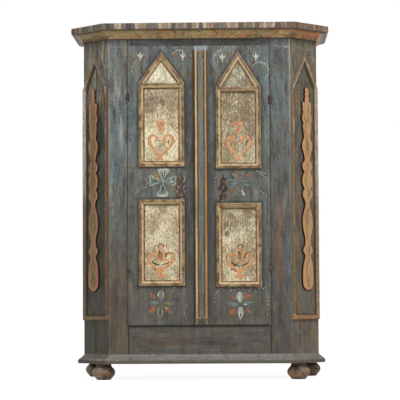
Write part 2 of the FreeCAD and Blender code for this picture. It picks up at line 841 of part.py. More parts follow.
def make_lock():
    """Open-backed case with a sliding bolt that a stud guides and a leaf spring holds."""
    x, z = keyhole_place()
    start = right_meeting + case_inset
    end = x + case_beyond
    low = z - case_half
    high = z + case_half
    case_back = door_back + case_depth
    bolt_front = door_back + bolt_stand
    bolt_back = bolt_front + bolt_thickness
    bolt_low = z - bolt_height / 2
    bolt_high = z + bolt_height / 2
    case = box(start, end, door_back, case_back, low, high)
    case = case.cut(box(start + case_wall, end - case_wall, door_back - 1, case_back - case_wall,
                        low + case_wall, high - case_wall))
    case = case.cut(box(start - 1, start + case_wall + 1, bolt_front - bolt_play, bolt_back + bolt_play,
                        bolt_low - bolt_play, bolt_high + bolt_play))
    stud_x = (start + x) / 2
    stud = Part.makeCylinder(stud_radius, case_back - case_wall - bolt_front + bolt_play,
                             Vec(stud_x, bolt_front - bolt_play, z), Vec(0, 1, 0))
    keep("lock_case", case.fuse(stud).removeSplitter())
    tail = x - bolt_tail
    bolt = box(start, tail, bolt_front, bolt_back, bolt_low, bolt_high)
    slot_half = stud_radius + bolt_play
    slot = box(stud_x - slot_half, stud_x + bolt_throw + slot_half, bolt_front - 1, bolt_back + 1,
               z - slot_half, z + slot_half)
    notch = box(tail - 2 * talon, tail - talon, bolt_front - 1, bolt_back + 1,
                bolt_low - 1, bolt_low + talon / 2)
    keep("lock_bolt", bolt.cut(slot).cut(notch))
    anchor_x = end - 3 * case_wall
    spring_low = bolt_high + bolt_play
    spring_high = high - case_wall
    span = anchor_x - stud_x
    rise = spring_high - spring_low
    outline = [
        (stud_x, spring_low),
        (stud_x + 0.6 * span, spring_low + 0.3 * rise, anchor_x, spring_high - spring_thickness),
        (anchor_x + 2 * case_wall, spring_high - spring_thickness),
        (anchor_x + 2 * case_wall, spring_high),
        (anchor_x - spring_thickness, spring_high),
        (stud_x + 0.6 * span - spring_thickness, spring_low + 0.3 * rise + spring_thickness,
         stud_x, spring_low + spring_thickness),
    ]
    middle = (bolt_front + bolt_back - spring_width) / 2
    spring = outline_face(outline, lambda along, rising: Vec(along, middle, rising))
    keep("lock_spring", spring.extrude(Vec(0, spring_width, 0)))
    keep_end = left_meeting - keep_inset
    inside_half = bolt_height / 2 + 2 * bolt_play
    outside_half = inside_half + keep_wall
    inside_back = bolt_stand + bolt_thickness + 2 * bolt_play
    section = [
        (0, -outside_half - keep_flange),
        (keep_wall, -outside_half - keep_flange),
        (keep_wall, -outside_half),
        (inside_back + keep_wall, -outside_half),
        (inside_back + keep_wall, outside_half),
        (keep_wall, outside_half),
        (keep_wall, outside_half + keep_flange),
        (0, outside_half + keep_flange),
        (0, inside_half),
        (inside_back, inside_half),
        (inside_back, -inside_half),
        (0, -inside_half),
    ]
    keep_start = keep_end - keep_length
    staple = outline_face(section, lambda back, above: Vec(keep_start, door_back + back, z + above))
    keep("lock_keep", staple.extrude(Vec(keep_length, 0, 0)))


# Slide bolts that hold the left door
def make_slide_bolts():
    """Square bolts in two guides on a plate, at the top and the bottom of the left door's back."""
    axis = slide_bolt_axis()
    plates = []
    for name, tip, towards in [
        ("upper_bolt", door_top - tongue_inset - slide_rest, 1),
        ("lower_bolt", door_bottom + tongue_inset + slide_rest, -1),
    ]:
        tail = tip - towards * slide_length
        low, high = sorted([tip, tail])
        bar = box(axis.x - slide_half, axis.x + slide_half, axis.y - slide_half, axis.y + slide_half,
                  low, high)
        rim = [edge for edge in bar.Edges if all(abs(vertex.Z - tip) < 1e-6 for vertex in edge.Vertexes)]
        bar = bar.makeChamfer(slide_point, rim)
        lug_z = (low + high) / 2 - towards * slide_throw / 2
        lug_end = axis.y + slide_half + slide_lug
        lug = box(axis.x - slide_half, axis.x + slide_half, axis.y, lug_end, lug_z - slide_lug_half,
                  lug_z + slide_lug_half)
        rim = [edge for edge in lug.Edges if all(abs(vertex.Y - lug_end) < 1e-6 for vertex in edge.Vertexes)]
        lug = lug.makeChamfer(slide_lug_point, rim)
        keep(name, bar.fuse(lug).removeSplitter())
        plate_low = low + slide_plate_end
        plate_high = high - slide_plate_end
        plate = box(axis.x - slide_plate_half, axis.x + slide_plate_half, door_back, door_back + slide_plate,
                    plate_low, plate_high)
        inside = slide_half + slide_play
        outside = inside + slide_guide_wall
        for guide_low in (plate_low + slide_guide_wall, plate_high - slide_guide_wall - slide_guide):
            guide = box(axis.x - outside, axis.x + outside, door_back + slide_plate, axis.y + outside,
                        guide_low, guide_low + slide_guide)
            room = box(axis.x - inside, axis.x + inside, door_back + slide_plate, axis.y + inside,
                       guide_low - 1, guide_low + slide_guide + 1)
            plate = plate.fuse(guide.cut(room))
        plates.append(plate.removeSplitter())
    keep("bolt_plates", *plates)


make_feet()
make_base()
make_carcass()
make_back()
make_shelves()
make_cove()
make_corners()
make_door("left", left_edge, left_meeting, left_hinge_margin, left_meeting_margin)
make_door("right", right_edge, right_meeting, right_hinge_margin, right_meeting_margin)
make_strip()
make_escutcheon()
make_lock()
make_slide_bolts()

for node, shape in nodes.items():
    shape.exportStep("parts/" + node + ".step")
    state = "valid" if shape.isValid() else "BAD"
    print(node, len(shape.Solids), "solids", round(shape.Volume / 1000, 1), "cm3", state)
print(len(nodes), "nodes")
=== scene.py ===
import math
import random
import bpy
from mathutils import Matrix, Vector


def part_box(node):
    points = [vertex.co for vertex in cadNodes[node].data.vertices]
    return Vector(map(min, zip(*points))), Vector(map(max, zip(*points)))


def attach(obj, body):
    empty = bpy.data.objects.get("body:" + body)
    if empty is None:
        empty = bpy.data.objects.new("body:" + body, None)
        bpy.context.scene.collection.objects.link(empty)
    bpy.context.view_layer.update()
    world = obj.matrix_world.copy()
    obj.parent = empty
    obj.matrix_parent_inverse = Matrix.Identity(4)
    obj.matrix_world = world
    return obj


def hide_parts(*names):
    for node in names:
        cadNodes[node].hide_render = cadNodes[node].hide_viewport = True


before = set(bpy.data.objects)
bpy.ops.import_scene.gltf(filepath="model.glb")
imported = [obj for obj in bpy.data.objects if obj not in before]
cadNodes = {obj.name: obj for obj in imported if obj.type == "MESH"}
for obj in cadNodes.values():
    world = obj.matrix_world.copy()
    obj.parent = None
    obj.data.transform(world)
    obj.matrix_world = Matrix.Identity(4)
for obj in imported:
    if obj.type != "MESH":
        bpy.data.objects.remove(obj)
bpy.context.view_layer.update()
print("frame loaded:", len(cadNodes), "CAD nodes")


# Materials: one class for sockets, one for a material and the nodes in it

def tint(red, green, blue):                      # a colour as it looks on screen, 0 to 255
    parts = []
    for value in (red, green, blue):
        share = value / 255
        parts.append(share / 12.92 if share <= 0.04045 else ((share + 0.055) / 1.055) ** 2.4)
    return (*parts, 1.0)


class Wire:                                      # a socket that adds its own Math nodes
    def __init__(self, finish, socket):
        self.finish = finish
        self.socket = socket

    def maths(self, operation, first, second=0.0):
        return self.finish.add("ShaderNodeMath", {"operation": operation}, {0: first, 1: second})

    def __add__(self, other):
        return self.maths("ADD", self, other)

    def __sub__(self, other):
        return self.maths("SUBTRACT", self, other)

    def __rsub__(self, other):
        return self.maths("SUBTRACT", other, self)

    def __mul__(self, other):
        return self.maths("MULTIPLY", self, other)

    def __truediv__(self, other):
        return self.maths("DIVIDE", self, other)

    def __abs__(self):
        return self.maths("ABSOLUTE", self)

    def __mod__(self, other):
        return self.maths("FLOORED_MODULO", self, other)

    def least(self, other):
        return self.maths("MINIMUM", self, other)

    def sine(self):
        return self.maths("SINE", self)

    def spread(self, amount):                    # a noise made to swing about nought
        return (self - 0.5) * amount

    __radd__ = __add__
    __rmul__ = __mul__


gloss = {"specular": 0.2, "samples": 6}          # samples of the edge and corner nodes


class Finish:                                    # a material, with its nodes added as they are needed
    def __init__(self, name):
        self.material = bpy.data.materials.new(name)
        self.material.use_nodes = True
        self.tree = self.material.node_tree
        self.shader = self.tree.nodes["Principled BSDF"]
        self.shader.inputs["Specular IOR Level"].default_value = gloss["specular"]
        self.place = self.add("ShaderNodeTexCoord", output="Object")
        self.normal = self.add("ShaderNodeTexCoord", output="Normal")
        split = self.add("ShaderNodeSeparateXYZ", {}, {0: self.place}).socket.node
        self.x, self.y, self.z = (Wire(self, socket) for socket in split.outputs)
        self.colour = None

    def add(self, kind, settings=None, sockets=None, output=0):
        node = self.tree.nodes.new(kind)
        for name, value in (settings or {}).items():
            if name == "stops":
                self.setStops(node.color_ramp, value)
            else:
                setattr(node, name, value)
        for name, value in (sockets or {}).items():
            self.feed(node.inputs[name], value)
        return Wire(self, node.outputs[output])

    def setStops(self, ramp, stops):
        ramp.interpolation = "CONSTANT"
        while len(ramp.elements) < len(stops):
            ramp.elements.new(1.0)
        for element, (position, colour) in zip(ramp.elements, stops):
            element.position = position
            element.color = colour

    def feed(self, socket, value):
        if isinstance(value, Wire):
            self.tree.links.new(value.socket, socket)
        else:
            socket.default_value = value

    def noise(self, stretch, detail=3.0, rough=0.55, shift=0.0, swirl=0.0):
        spot = self.add("ShaderNodeVectorMath", {"operation": "MULTIPLY_ADD"},
                        {0: self.place, 1: stretch, 2: (shift, shift * 0.7, shift * 1.3)})
        return self.add("ShaderNodeTexNoise", {},
                        {"Vector": spot, "Scale": 1.0, "Detail": detail, "Roughness": rough, "Distortion": swirl})

    def soft(self, value, low, high):            # 0 below low, 1 above high
        return self.add("ShaderNodeMapRange", {"interpolation_type": "SMOOTHSTEP"},
                        {"Value": value, "From Min": low, "From Max": high})

    def fall(self, value, low, high):            # 1 below low, 0 above high
        return 1 - self.soft(value, low, high)

    def line(self, value, near, far):            # 1 where the value is nought, 0 beyond far
        return self.fall(abs(value), near, far)

    def band(self, value, start, full, fade, end):
        return self.soft(value, start, full) * self.fall(value, fade, end)

    def blend(self, factor, first, second):
        return self.add("ShaderNodeMix", {"data_type": "RGBA"}, {0: factor, 6: first, 7: second}, 2)

    def shade(self, colour, factor):             # darker below 1, lighter above
        settings = {"data_type": "RGBA", "blend_type": "MULTIPLY"}
        return self.add("ShaderNodeMix", settings, {0: 1.0, 6: colour, 7: factor}, 2)

    def lay(self, share, colour):                # one more coat on the colour so far
        self.colour = self.blend(share, self.colour, colour)

    def dim(self, factor):
        self.colour = self.shade(self.colour, factor)

    def dot(self, first, second):
        return self.add("ShaderNodeVectorMath", {"operation": "DOT_PRODUCT"}, {0: first, 1: second}, "Value")

    def facing(self, way, low, high):            # 1 on faces that look that way
        return self.soft(self.dot(self.normal, way), low, high)

    def patch(self, x, z, wide, high):           # soft oval on the front
        across = (self.x - x) / wide
        rise = (self.z - z) / high
        return self.soft(1 - (across * across + rise * rise), 0.0, 1.0)

    def gabled(self, across, reach, low, high, foot, tied=True):    # metres inside a frame with a gable
        rise = high - foot
        slant = (across - (self.z - foot) * (reach / rise)) * (rise / math.hypot(reach, rise))
        square = across.least(self.z - low)
        if tied:
            square = square.least(foot - self.z)
        above = self.soft(self.z, foot - 0.0004, foot + 0.0004)
        return square * (1 - above) + slant * above

    def inward(self, moulding):                  # depth inside the outer edge of a door moulding
        low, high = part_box(moulding)
        reach = (high[0] - low[0]) / 2
        across = reach - abs(self.x - (low[0] + high[0]) / 2)
        if moulding in gableFeet:
            return self.gabled(across, reach, low[2], high[2], gableFeet[moulding])
        return across.least((self.z - low[2]).least(high[2] - self.z))

    def edge(self, radius):                      # grows towards the sharp edges
        rounded = self.add("ShaderNodeBevel", {"samples": gloss["samples"]}, {"Radius": radius})
        true = self.add("ShaderNodeNewGeometry", output="True Normal")
        return 1 - self.dot(rounded, true)

    def corner(self, reach):                     # painted shade: grows into the inner corners
        settings = {"samples": gloss["samples"]}
        return 1 - self.add("ShaderNodeAmbientOcclusion", settings, {"Distance": reach}, "AO")

    def use(self, roughness, height, strength=0.3, depth=0.001, alpha=None, metallic=None):
        bump = self.add("ShaderNodeBump", {}, {"Strength": strength, "Distance": depth, "Height": height})
        inputs = {"Base Color": self.colour, "Roughness": roughness, "Normal": bump, "Alpha": alpha,
                  "Metallic": metallic}
        for name, value in inputs.items():
            if value is not None:
                self.feed(self.shader.inputs[name], value)
        return self.material


def scaled(stretch, factor):
    return tuple(part * factor for part in stretch)


def dress(names, material):
    for name in names:
        for slot in cadNodes[name].material_slots:
            slot.material = material


sides = ("left", "right")
half = math.sqrt(0.5)
grainStretch = {"x": (0.07, 1, 1), "y": (1, 0.07, 1), "z": (1, 1, 0.07)}
gableFeet = {side + "_door_upper_moulding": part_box(side + "_door_upper_panel")[1][2] + 0.0005 for side in sides}


# Bare softwood, for the inside, the back and the hidden faces

pine = {"light": tint(172, 138, 98), "dark": tint(126, 92, 60), "knot": tint(84, 56, 36), "seam": tint(44, 31, 21),
        "grain": 55}
back = {"lap": 0.008, "line": 0.005, "steps": (-0.12, 0.2, -0.16, 0.1)}    # tone from board to board


def pineColour(finish, grain):
    ring = finish.noise(scaled(grainStretch[grain], pine["grain"]), 4, 0.6, 2.0, 0.6)
    knots = finish.noise((7, 7, 4), 2, 0.5, 11.0)
    colour = finish.blend(finish.soft(ring, 0.36, 0.66), pine["dark"], pine["light"])
    return finish.blend(finish.soft(knots, 0.7, 0.76), colour, pine["knot"]), ring


def barePine(name, grain, seams=()):
    wood = Finish(name)
    wood.colour, ring = pineColour(wood, grain)
    for seam, step in seams:
        wood.dim(wood.soft(wood.x, seam - 0.0005, seam + 0.0005) * step + 1.0)
        wood.lay(wood.band(wood.x, seam - back["line"], seam, seam, seam + back["line"]) * 0.9, pine["seam"])
    grime = wood.noise((4, 4, 4), 4, 0.6, 5.0)
    wood.lay(wood.soft(grime, 0.5, 0.75) * 0.6, pine["knot"])
    return wood.use(0.75, ring, 0.25)


backLow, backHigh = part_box("back_boards")
backWidth = (backHigh[0] - backLow[0]) / (len(back["steps"]) + 1)
backSeams = [(backLow[0] + (index + 1) * backWidth - back["lap"], step)
             for index, step in enumerate(back["steps"])]
dress(["floor_board", "lower_shelf", "middle_shelf", "upper_shelf", "base_back_rail"], barePine("shelf pine", "x"))
dress(["back_boards"], barePine("back pine", "z", backSeams))
dress(["shelf_bearers"], barePine("bearer pine", "y"))


# Worn dark paint on the boards, bare on their inner faces

# The dark dirt colours in these tables serve for real dirt and also for painted shade and shadow.
slate = {
    "blue": tint(84, 100, 106), "pale": tint(136, 140, 134),
    "olive": tint(98, 98, 80), "plum": tint(84, 74, 78), "brown": tint(96, 80, 64), "rust": tint(112, 78, 58),
    "chip": tint(166, 160, 144), "worn": tint(136, 118, 92), "dirt": tint(42, 40, 36), "knot": tint(78, 54, 42),
    "contrast": 1.7, "speckle": 2.0, "wash": 1.9, "edge": 0.6, "band": 0.45,
}
heights = {"fade": (0.3, 1.4), "cornice": (1.715, 1.75), "arris": (0.8, 1.5)}    # where tones change
innerFace = (-0.7, -0.4)                         # how far a face looks away before it is bare
strokeStretch = {"x": (0.16, 1, 1), "z": (1, 1, 0.16), "level": (0.25, 0.25, 1)}
doorEdges = [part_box("left_door_hinge_stile")[0][0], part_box("right_door_hinge_stile")[1][0]]
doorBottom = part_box("right_door_hinge_stile")[0][2]


def besideDoor(paint):                           # distance from the nearer outer edge of a door
    return abs(paint.x - doorEdges[0]).least(abs(paint.x - doorEdges[1]))


def boardPaint(name, grain, tone, outward=(0, -1, 0), patches=(), gable=None, mouldings=False, brushed=None,
               arris=None, seam=None, nose=None):
    paint = Finish(name)
    tone = {**slate, **tone}
    stretch = strokeStretch[brushed or grain]
    streak = paint.noise(scaled(stretch, 70), 4, 0.62)
    fine = paint.noise(scaled(stretch, 240), 2, 0.6, 3.0)
    wash = paint.noise(scaled(stretch, 36), 3, 0.6, 29.0)
    speckle = paint.noise((150, 150, 100), 3, 0.7, 17.0)
    cloud = paint.noise((7, 7, 3), 3, 0.6, 7.0)
    stain = paint.noise((14, 14, 6), 4, 0.65, 13.0)
    dapple = paint.noise((34, 34, 14), 4, 0.65, 41.0)
    patchy = paint.noise((26, 26, 9), 3, 0.6, 23.0)
    speck = paint.noise((260, 260, 200), 2, 0.6, 1.0)
    high = paint.soft(paint.z, *heights["fade"])
    paint.colour = paint.blend(high, tone["low"], tone["top"])
    paint.lay(paint.soft(cloud, 0.48, 0.68) * high * 0.6, tone["blue"])
    paint.lay(paint.soft(stain, 0.5, 0.72) * 0.6, tone["brown"])
    paint.lay(paint.soft(dapple, 0.52, 0.66) * (high * 0.4 + 0.15), tone["blue"])
    paint.lay(paint.soft(1 - dapple, 0.52, 0.66) * 0.5, tone["olive"])
    paint.lay(paint.soft(dapple + cloud, 1.06, 1.25) * 0.6, tone["plum"])
    for x, z, wide, tall, key, share in patches:
        paint.lay(paint.patch(x, z, wide, tall) * paint.soft(streak + stain * 0.4, 0.5, 0.85) * share, tone[key])
    paint.lay(paint.soft(patchy, 0.5, 0.7) * 0.4, tone["dirt"])
    mottle = streak.spread(tone["contrast"]) + fine.spread(0.8) + speckle.spread(tone["speckle"])
    mottle = mottle + wash.spread(tone["wash"])
    paint.dim(mottle * (high * 0.45 + 0.6) + 1.06)
    if arris:
        line = paint.line(paint.x - arris, 0.0015, 0.005) * paint.soft(stain + speckle * 0.5, 0.55, 0.8)
        paint.lay(line * (paint.soft(paint.z, *heights["arris"]) * 0.95 + 0.15), tone["pale"])
    rubbed = paint.soft(paint.edge(0.005) * (stain + 0.5) + speck * 0.1, 0.16, 0.42)
    paint.lay(rubbed * tone["edge"], tone["worn"])
    paint.lay(paint.soft(speck + cloud * 0.3, 0.86, 0.94) * 0.55, tone["chip"])
    # painted shadow of the cornice across the top of the boards
    paint.lay(paint.soft(paint.z, *heights["cornice"]) * tone["band"], tone["dirt"])
    if seam == "stile":                          # painted shadow of the door's edge, with dirt, in a line beside the door
        paint.lay(paint.fall(besideDoor(paint), 0.001, 0.007) * 0.85, tone["dirt"])
    if seam == "rail":                           # shadow under the doors
        paint.lay(paint.soft(paint.z, doorBottom - 0.022, doorBottom - 0.004) * 0.75, tone["dirt"])
    if seam == "door":                           # rubbed pale along the door's edge
        line = paint.fall(besideDoor(paint), 0.002, 0.005)
        paint.lay(line * paint.soft(stain + speckle * 0.6, 0.72, 0.96) * 0.6, tone["worn"])
    if nose:                                     # darker rounded edge, chipped along its upper arris
        paint.lay(paint.fall(paint.z, nose - 0.005, nose) * 0.75, tone["nose"])
        chips = paint.soft(speckle + stain * 0.5, tone["chipped"], tone["chipped"] + 0.1)
        paint.lay(paint.line(paint.z - nose + 0.002, 0.002, 0.006) * chips * 0.85, tone["chip"])
    for side in sides if mouldings else ():      # painted shade and dirt in the corner beside the mouldings
        for part in ("upper", "lower"):
            outer = paint.inward(side + "_door_" + part + "_moulding")
            paint.lay(paint.soft(outer, -0.022, 0.0) * 0.6, tone["dirt"])
    if gable:
        gableCream(paint, gable)
    bare = pineColour(paint, grain if grain in grainStretch else "x")[0]
    paint.lay(1 - paint.facing(outward, *innerFace), bare)
    return paint.use(0.48 + streak * 0.3, streak * 0.5 + fine * 0.3 + speckle * 0.2, 0.35)


# Cream paint on the panels and inside the gables

cream = {
    "paint": tint(228, 217, 182), "fleck": tint(120, 98, 74), "dark": tint(78, 70, 58), "plum": tint(126, 98, 92),
    "tan": tint(192, 168, 130), "olive": tint(118, 110, 84), "shadow": tint(146, 130, 108),
    "light": tint(228, 218, 184), "kept": (0.028, 0.044), "gable": (0.012, 0.014),
}


def creamCoat(paint, worn, patches=()):
    fleck = paint.noise((170, 170, 64), 5, 0.75, 4.0, 0.4)
    scratch = paint.noise((130, 130, 62), 4, 0.72, 9.0, 1.8)
    cloud = paint.noise((16, 16, 9), 3, 0.6, 2.0)
    hue = paint.noise((60, 60, 24), 2, 0.5, 31.0)
    wisp = paint.noise((520, 520, 220), 2, 0.6, 19.0)
    paint.colour = paint.blend(paint.soft(cloud, 0.38, 0.68) * 0.6, cream["paint"], cream["tan"])
    dirty = paint.blend(paint.soft(hue, 0.4, 0.6), cream["olive"], cream["fleck"])
    for x, z, wide, high, key, share in patches:
        paint.lay(paint.patch(x, z, wide, high) * paint.soft(fleck, 0.3, 0.6) * share, cream[key])
    paint.lay(paint.soft(fleck + cloud * 0.4, 0.63 - worn, 0.87 - worn) * 0.85, dirty)
    paint.dim(wisp.spread(1.2) + 1.0)
    paint.lay(paint.soft(scratch, 0.55, 0.67) * 0.78, cream["dark"])
    return fleck


def creamPanel(name, moulding, worn, level, patches=()):
    paint = Finish(name)
    fleck = creamCoat(paint, worn, patches)
    kept = paint.fall(paint.inward(moulding), *cream["kept"])    # painted light beside the moulding, lifting the shade it casts on the panel
    paint.dim(kept * 0.2 + level)
    paint.lay(1 - paint.facing((0, -1, 0), *innerFace), pineColour(paint, "z")[0])
    return paint.use(0.6 + fleck * 0.2, fleck, 0.5, 0.0012)


def gableCream(paint, gable):
    moulding = gable["side"] + "_door_upper_moulding"
    foot = gableFeet[moulding]
    inner = paint.soft(paint.inward(moulding), *cream["gable"])
    inner = inner * paint.soft(paint.z, foot - 0.03, foot - 0.02)
    board = paint.colour
    creamCoat(paint, gable["worn"])
    paint.dim(gable["level"])
    paint.colour = paint.blend(inner, board, paint.colour)


# The left cant is painted darker than the right: its own duller paint, and painted shade.
leftCant = {"top": tint(80, 78, 61), "low": tint(71, 69, 61), "blue": tint(76, 84, 78), "brown": tint(83, 67, 48),
            "olive": tint(77, 74, 55), "plum": tint(70, 61, 57), "faded": tint(124, 119, 104), "contrast": 1.8}
rightCant = {"top": tint(105, 96, 81), "low": tint(104, 95, 83), "blue": tint(98, 100, 96),
             "brown": tint(116, 92, 68), "contrast": 1.8}
leftStile = {"top": tint(106, 106, 99), "low": tint(81, 77, 69)}
rightStile = {"top": tint(94, 93, 89), "low": tint(80, 74, 67)}
# The top rail takes the very dark top tone as the cornice's painted shadow; the bottom rail takes the low tone.
dark = {"top": tint(55, 52, 48), "low": tint(82, 79, 74), "contrast": 1.8}
door = {"top": tint(94, 95, 89), "low": tint(86, 84, 78)}
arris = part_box("right_front_stile")[1][0] - 0.004
boards = {                                       # patches: middle, half width and height, colour, strength
    "left_front_stile": {
        "name": "left stile paint", "grain": "z", "tone": leftStile, "arris": -arris, "seam": "stile", "patches": [
            (-0.43, 1.46, 0.03, 0.2, "pale", 0.7), (-0.405, 1.3, 0.02, 0.12, "pale", 0.6),
            (-0.43, 1.1, 0.04, 0.4, "blue", 0.7), (-0.45, 0.95, 0.02, 0.25, "pale", 0.4),
            (-0.4, 0.35, 0.1, 0.35, "brown", 0.6)]},
    "right_front_stile": {
        "name": "right stile paint", "grain": "z", "tone": rightStile, "arris": arris, "seam": "stile", "patches": [
            (0.4, 1.5, 0.05, 0.35, "blue", 0.6), (0.42, 1.62, 0.04, 0.07, "dirt", 0.5),
            (0.41, 0.7, 0.03, 0.3, "rust", 0.7), (0.45, 0.55, 0.03, 0.5, "blue", 0.5)]},
    "left_corner_board": {
        "name": "left cant paint", "grain": "z", "tone": leftCant, "outward": (-half, -half, 0), "patches": [
            (-0.54, 1.68, 0.2, 0.36, "faded", 1.3), (-0.54, 0.95, 0.03, 0.35, "blue", 0.5)]},
    "right_corner_board": {
        "name": "right cant paint", "grain": "z", "tone": rightCant, "outward": (half, -half, 0), "patches": [
            (0.54, 1.5, 0.04, 0.2, "dirt", 0.35), (0.52, 0.9, 0.02, 0.4, "rust", 0.35)]},
    "left_side_panel": {"name": "left side paint", "grain": "z", "tone": leftCant, "outward": (-1, 0, 0)},
    "right_side_panel": {"name": "right side paint", "grain": "z", "tone": rightCant, "outward": (1, 0, 0)},
    "top_rail": {"name": "top rail paint", "grain": "x", "tone": dark},
    "bottom_rail": {
        "name": "bottom rail paint", "grain": "x", "tone": dark, "seam": "rail", "patches": [
            (0.17, 0.178, 0.022, 0.018, "knot", 1.0), (-0.2, 0.2, 0.25, 0.05, "brown", 0.7),
            (0.05, 0.2, 0.2, 0.03, "dirt", 0.5)]},
}
for node, settings in boards.items():
    dress([node], boardPaint(**settings))

# The left base rails are painted darker than the front and right ones, partly as painted shade.
bases = {
    "base_left_rails": {"name": "left base paint", "flat": tint(92, 88, 82), "nose": tint(70, 66, 58), "chipped": 0.76},
    "base_front_rail": {"name": "front base paint", "flat": tint(119, 116, 112), "nose": tint(80, 76, 70),
                        "chipped": 0.82},
    "base_right_rails": {"name": "right base paint", "flat": tint(116, 110, 102), "nose": tint(84, 78, 70),
                         "chipped": 0.8},
}
baseTone = {"blue": tint(120, 126, 128), "olive": tint(116, 114, 102), "plum": tint(112, 104, 106),
            "brown": tint(122, 108, 92), "chip": tint(168, 154, 130), "contrast": 1.2, "speckle": 1.6, "wash": 0.6,
            "edge": 0.4}
baseNose = 0.106
for node, base in bases.items():
    tone = {**baseTone, **base, "top": base["flat"], "low": base["flat"]}
    dress([node], boardPaint(base["name"], "level", tone, (0, 0, 1), nose=baseNose))

# The tall dark patches beside the meeting strip are its painted shadow, with dirt.
doorPatches = [(0.335, 1.3, 0.04, 0.6, "blue", 0.5), (-0.34, 1.35, 0.03, 0.3, "blue", 0.5),
               (-0.055, 1.05, 0.04, 0.9, "dirt", 0.75), (0.06, 1.05, 0.03, 0.9, "dirt", 0.65)]
gables = [{"side": "left", "worn": 0.0, "level": (1.04, 1.09, 1.2, 1)},
          {"side": "right", "worn": 0.08, "level": (0.7, 0.72, 0.78, 1)}]
dress([side + "_door_" + part for side in sides for part in ("hinge_stile", "meeting_stile")],
      boardPaint("door upright paint", "z", door, patches=doorPatches, mouldings=True, seam="door"))
dress([side + "_door_" + part for side in sides for part in ("lock_rail", "bottom_rail")],
      boardPaint("door rail paint", "x", door, patches=doorPatches, mouldings=True, brushed="z"))
for gable in gables:
    dress([gable["side"] + "_door_top_rail"],
          boardPaint(gable["side"] + " gable paint", "x", door, gable=gable, mouldings=True, brushed="z"))

panels = {
    "left_door_upper": {"name": "upper left cream", "worn": 0.03, "level": 1.05, "patches": [
        (-0.195, 1.48, 0.2, 0.24, "shadow", 0.75), (-0.255, 1.43, 0.055, 0.07, "plum", 1.3),
        (-0.19, 1.43, 0.025, 0.022, "dark", 1.4), (-0.2, 1.16, 0.16, 0.14, "light", 0.9)]},
    "left_door_lower": {"name": "lower left cream", "worn": 0.05, "level": 0.97, "patches": [
        (-0.15, 0.84, 0.08, 0.08, "tan", 0.8)]},
    "right_door_upper": {"name": "upper right cream", "worn": 0.09, "level": 0.93, "patches": [
        (0.2, 1.45, 0.24, 0.34, "shadow", 0.9), (0.26, 1.28, 0.06, 0.24, "plum", 0.55)]},
    "right_door_lower": {"name": "lower right cream", "worn": 0.06, "level": 0.92, "patches": [
        (0.2, 0.87, 0.2, 0.14, "shadow", 0.6), (0.145, 0.8, 0.05, 0.08, "plum", 0.6),
        (0.161, 0.838, 0.018, 0.024, "plum", 1.8), (0.134, 0.793, 0.018, 0.018, "plum", 1.6),
        (0.137, 0.745, 0.02, 0.02, "plum", 1.4)]},
}
for place, settings in panels.items():
    dress([place + "_panel"], creamPanel(moulding=place + "_moulding", **settings))
print("boards and panels painted")


# Mouldings on the doors, the corners and the meeting strip

stick = {
    "base": tint(176, 152, 110), "brown": tint(134, 98, 64), "rose": tint(162, 126, 106), "crest": tint(208, 190, 148),
    "pale": tint(204, 190, 164), "under": tint(98, 74, 52), "dirt": tint(70, 54, 40), "veins": 0.056,
}
stickDepths = {                                  # in metres from the outer edge
    "rim": (0.0015, 0.005), "groove": 0.0095, "outside": (0.008, 0.016), "crest": (0.014, 0.017, 0.0225, 0.0245),
    "inside": (0.0228, 0.0255), "lowest": (0.026, 0.03),
}
underShare = {"left_door_upper_moulding": 0.05, "right_door_upper_moulding": 0.4, "left_door_lower_moulding": 0.25,
              "right_door_lower_moulding": 0.4}


def stickPaint(name, moulding):
    paint = Finish(name)
    bars = paint.noise((24, 24, 24), 2, 0.5, 6.0)
    marks = paint.noise((150, 150, 150), 3, 0.6, 3.0)
    hue = paint.noise((16, 16, 16), 2, 0.5, 21.0)
    deep = paint.inward(moulding) + marks.spread(0.004)
    paint.colour = paint.blend(paint.soft(bars, 0.42, 0.56), stick["base"], stick["brown"])
    paint.lay(paint.soft(hue, 0.52, 0.62) * 0.6, stick["rose"])
    # painted highlight along the crest of the moulding
    light = paint.band(deep, *stickDepths["crest"])
    paint.lay(light * paint.soft(hue + bars * 0.4, 0.46, 0.68) * 0.85, stick["crest"])
    # painted shade in the groove of the moulding
    groove = paint.line(deep - stickDepths["groove"], 0.0008, 0.003)
    paint.lay(groove * paint.soft(hue + marks * 0.3, 0.46, 0.66) * 0.75, stick["dirt"])
    paint.lay(paint.fall(deep, *stickDepths["rim"]) * paint.soft(marks, 0.36, 0.52) * 0.5, stick["pale"])
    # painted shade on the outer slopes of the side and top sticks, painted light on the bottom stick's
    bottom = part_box(moulding)[0][2]
    lowest = paint.fall(paint.z, *(bottom + rise for rise in stickDepths["lowest"]))
    paint.dim(paint.fall(deep, *stickDepths["outside"]) * (lowest * 0.34 - 0.24) + 1.0)
    # painted shade along the inner edge, where the moulding meets the panel
    paint.lay(paint.soft(deep, *stickDepths["inside"]) * 0.6, stick["dirt"])
    # painted shade on the faces that look down
    below = paint.facing((0, 0, -1), 0.1, 0.4) * paint.line(paint.dot(paint.normal, (1, 0, 0)), 0.1, 0.3)
    paint.lay(below * underShare[moulding], stick["under"])
    slant = (paint.x + paint.z + hue.spread(0.06)) % stick["veins"]
    veins = paint.line(slant - stick["veins"] / 2, 0.001, 0.005)
    paint.lay(veins * paint.soft(bars + marks * 0.4, 0.62, 0.8) * 0.65, stick["dirt"])
    paint.dim(marks.spread(1.8) + 1.0)
    paint.lay(paint.soft(marks, 0.62, 0.7) * 0.6, stick["dirt"])
    return paint.use(0.45 + marks * 0.2, marks, 0.3, 0.0008)


for side in sides:
    for part in ("upper", "lower"):
        moulding = side + "_door_" + part + "_moulding"
        dress([moulding], stickPaint(side + " " + part + " moulding paint", moulding))

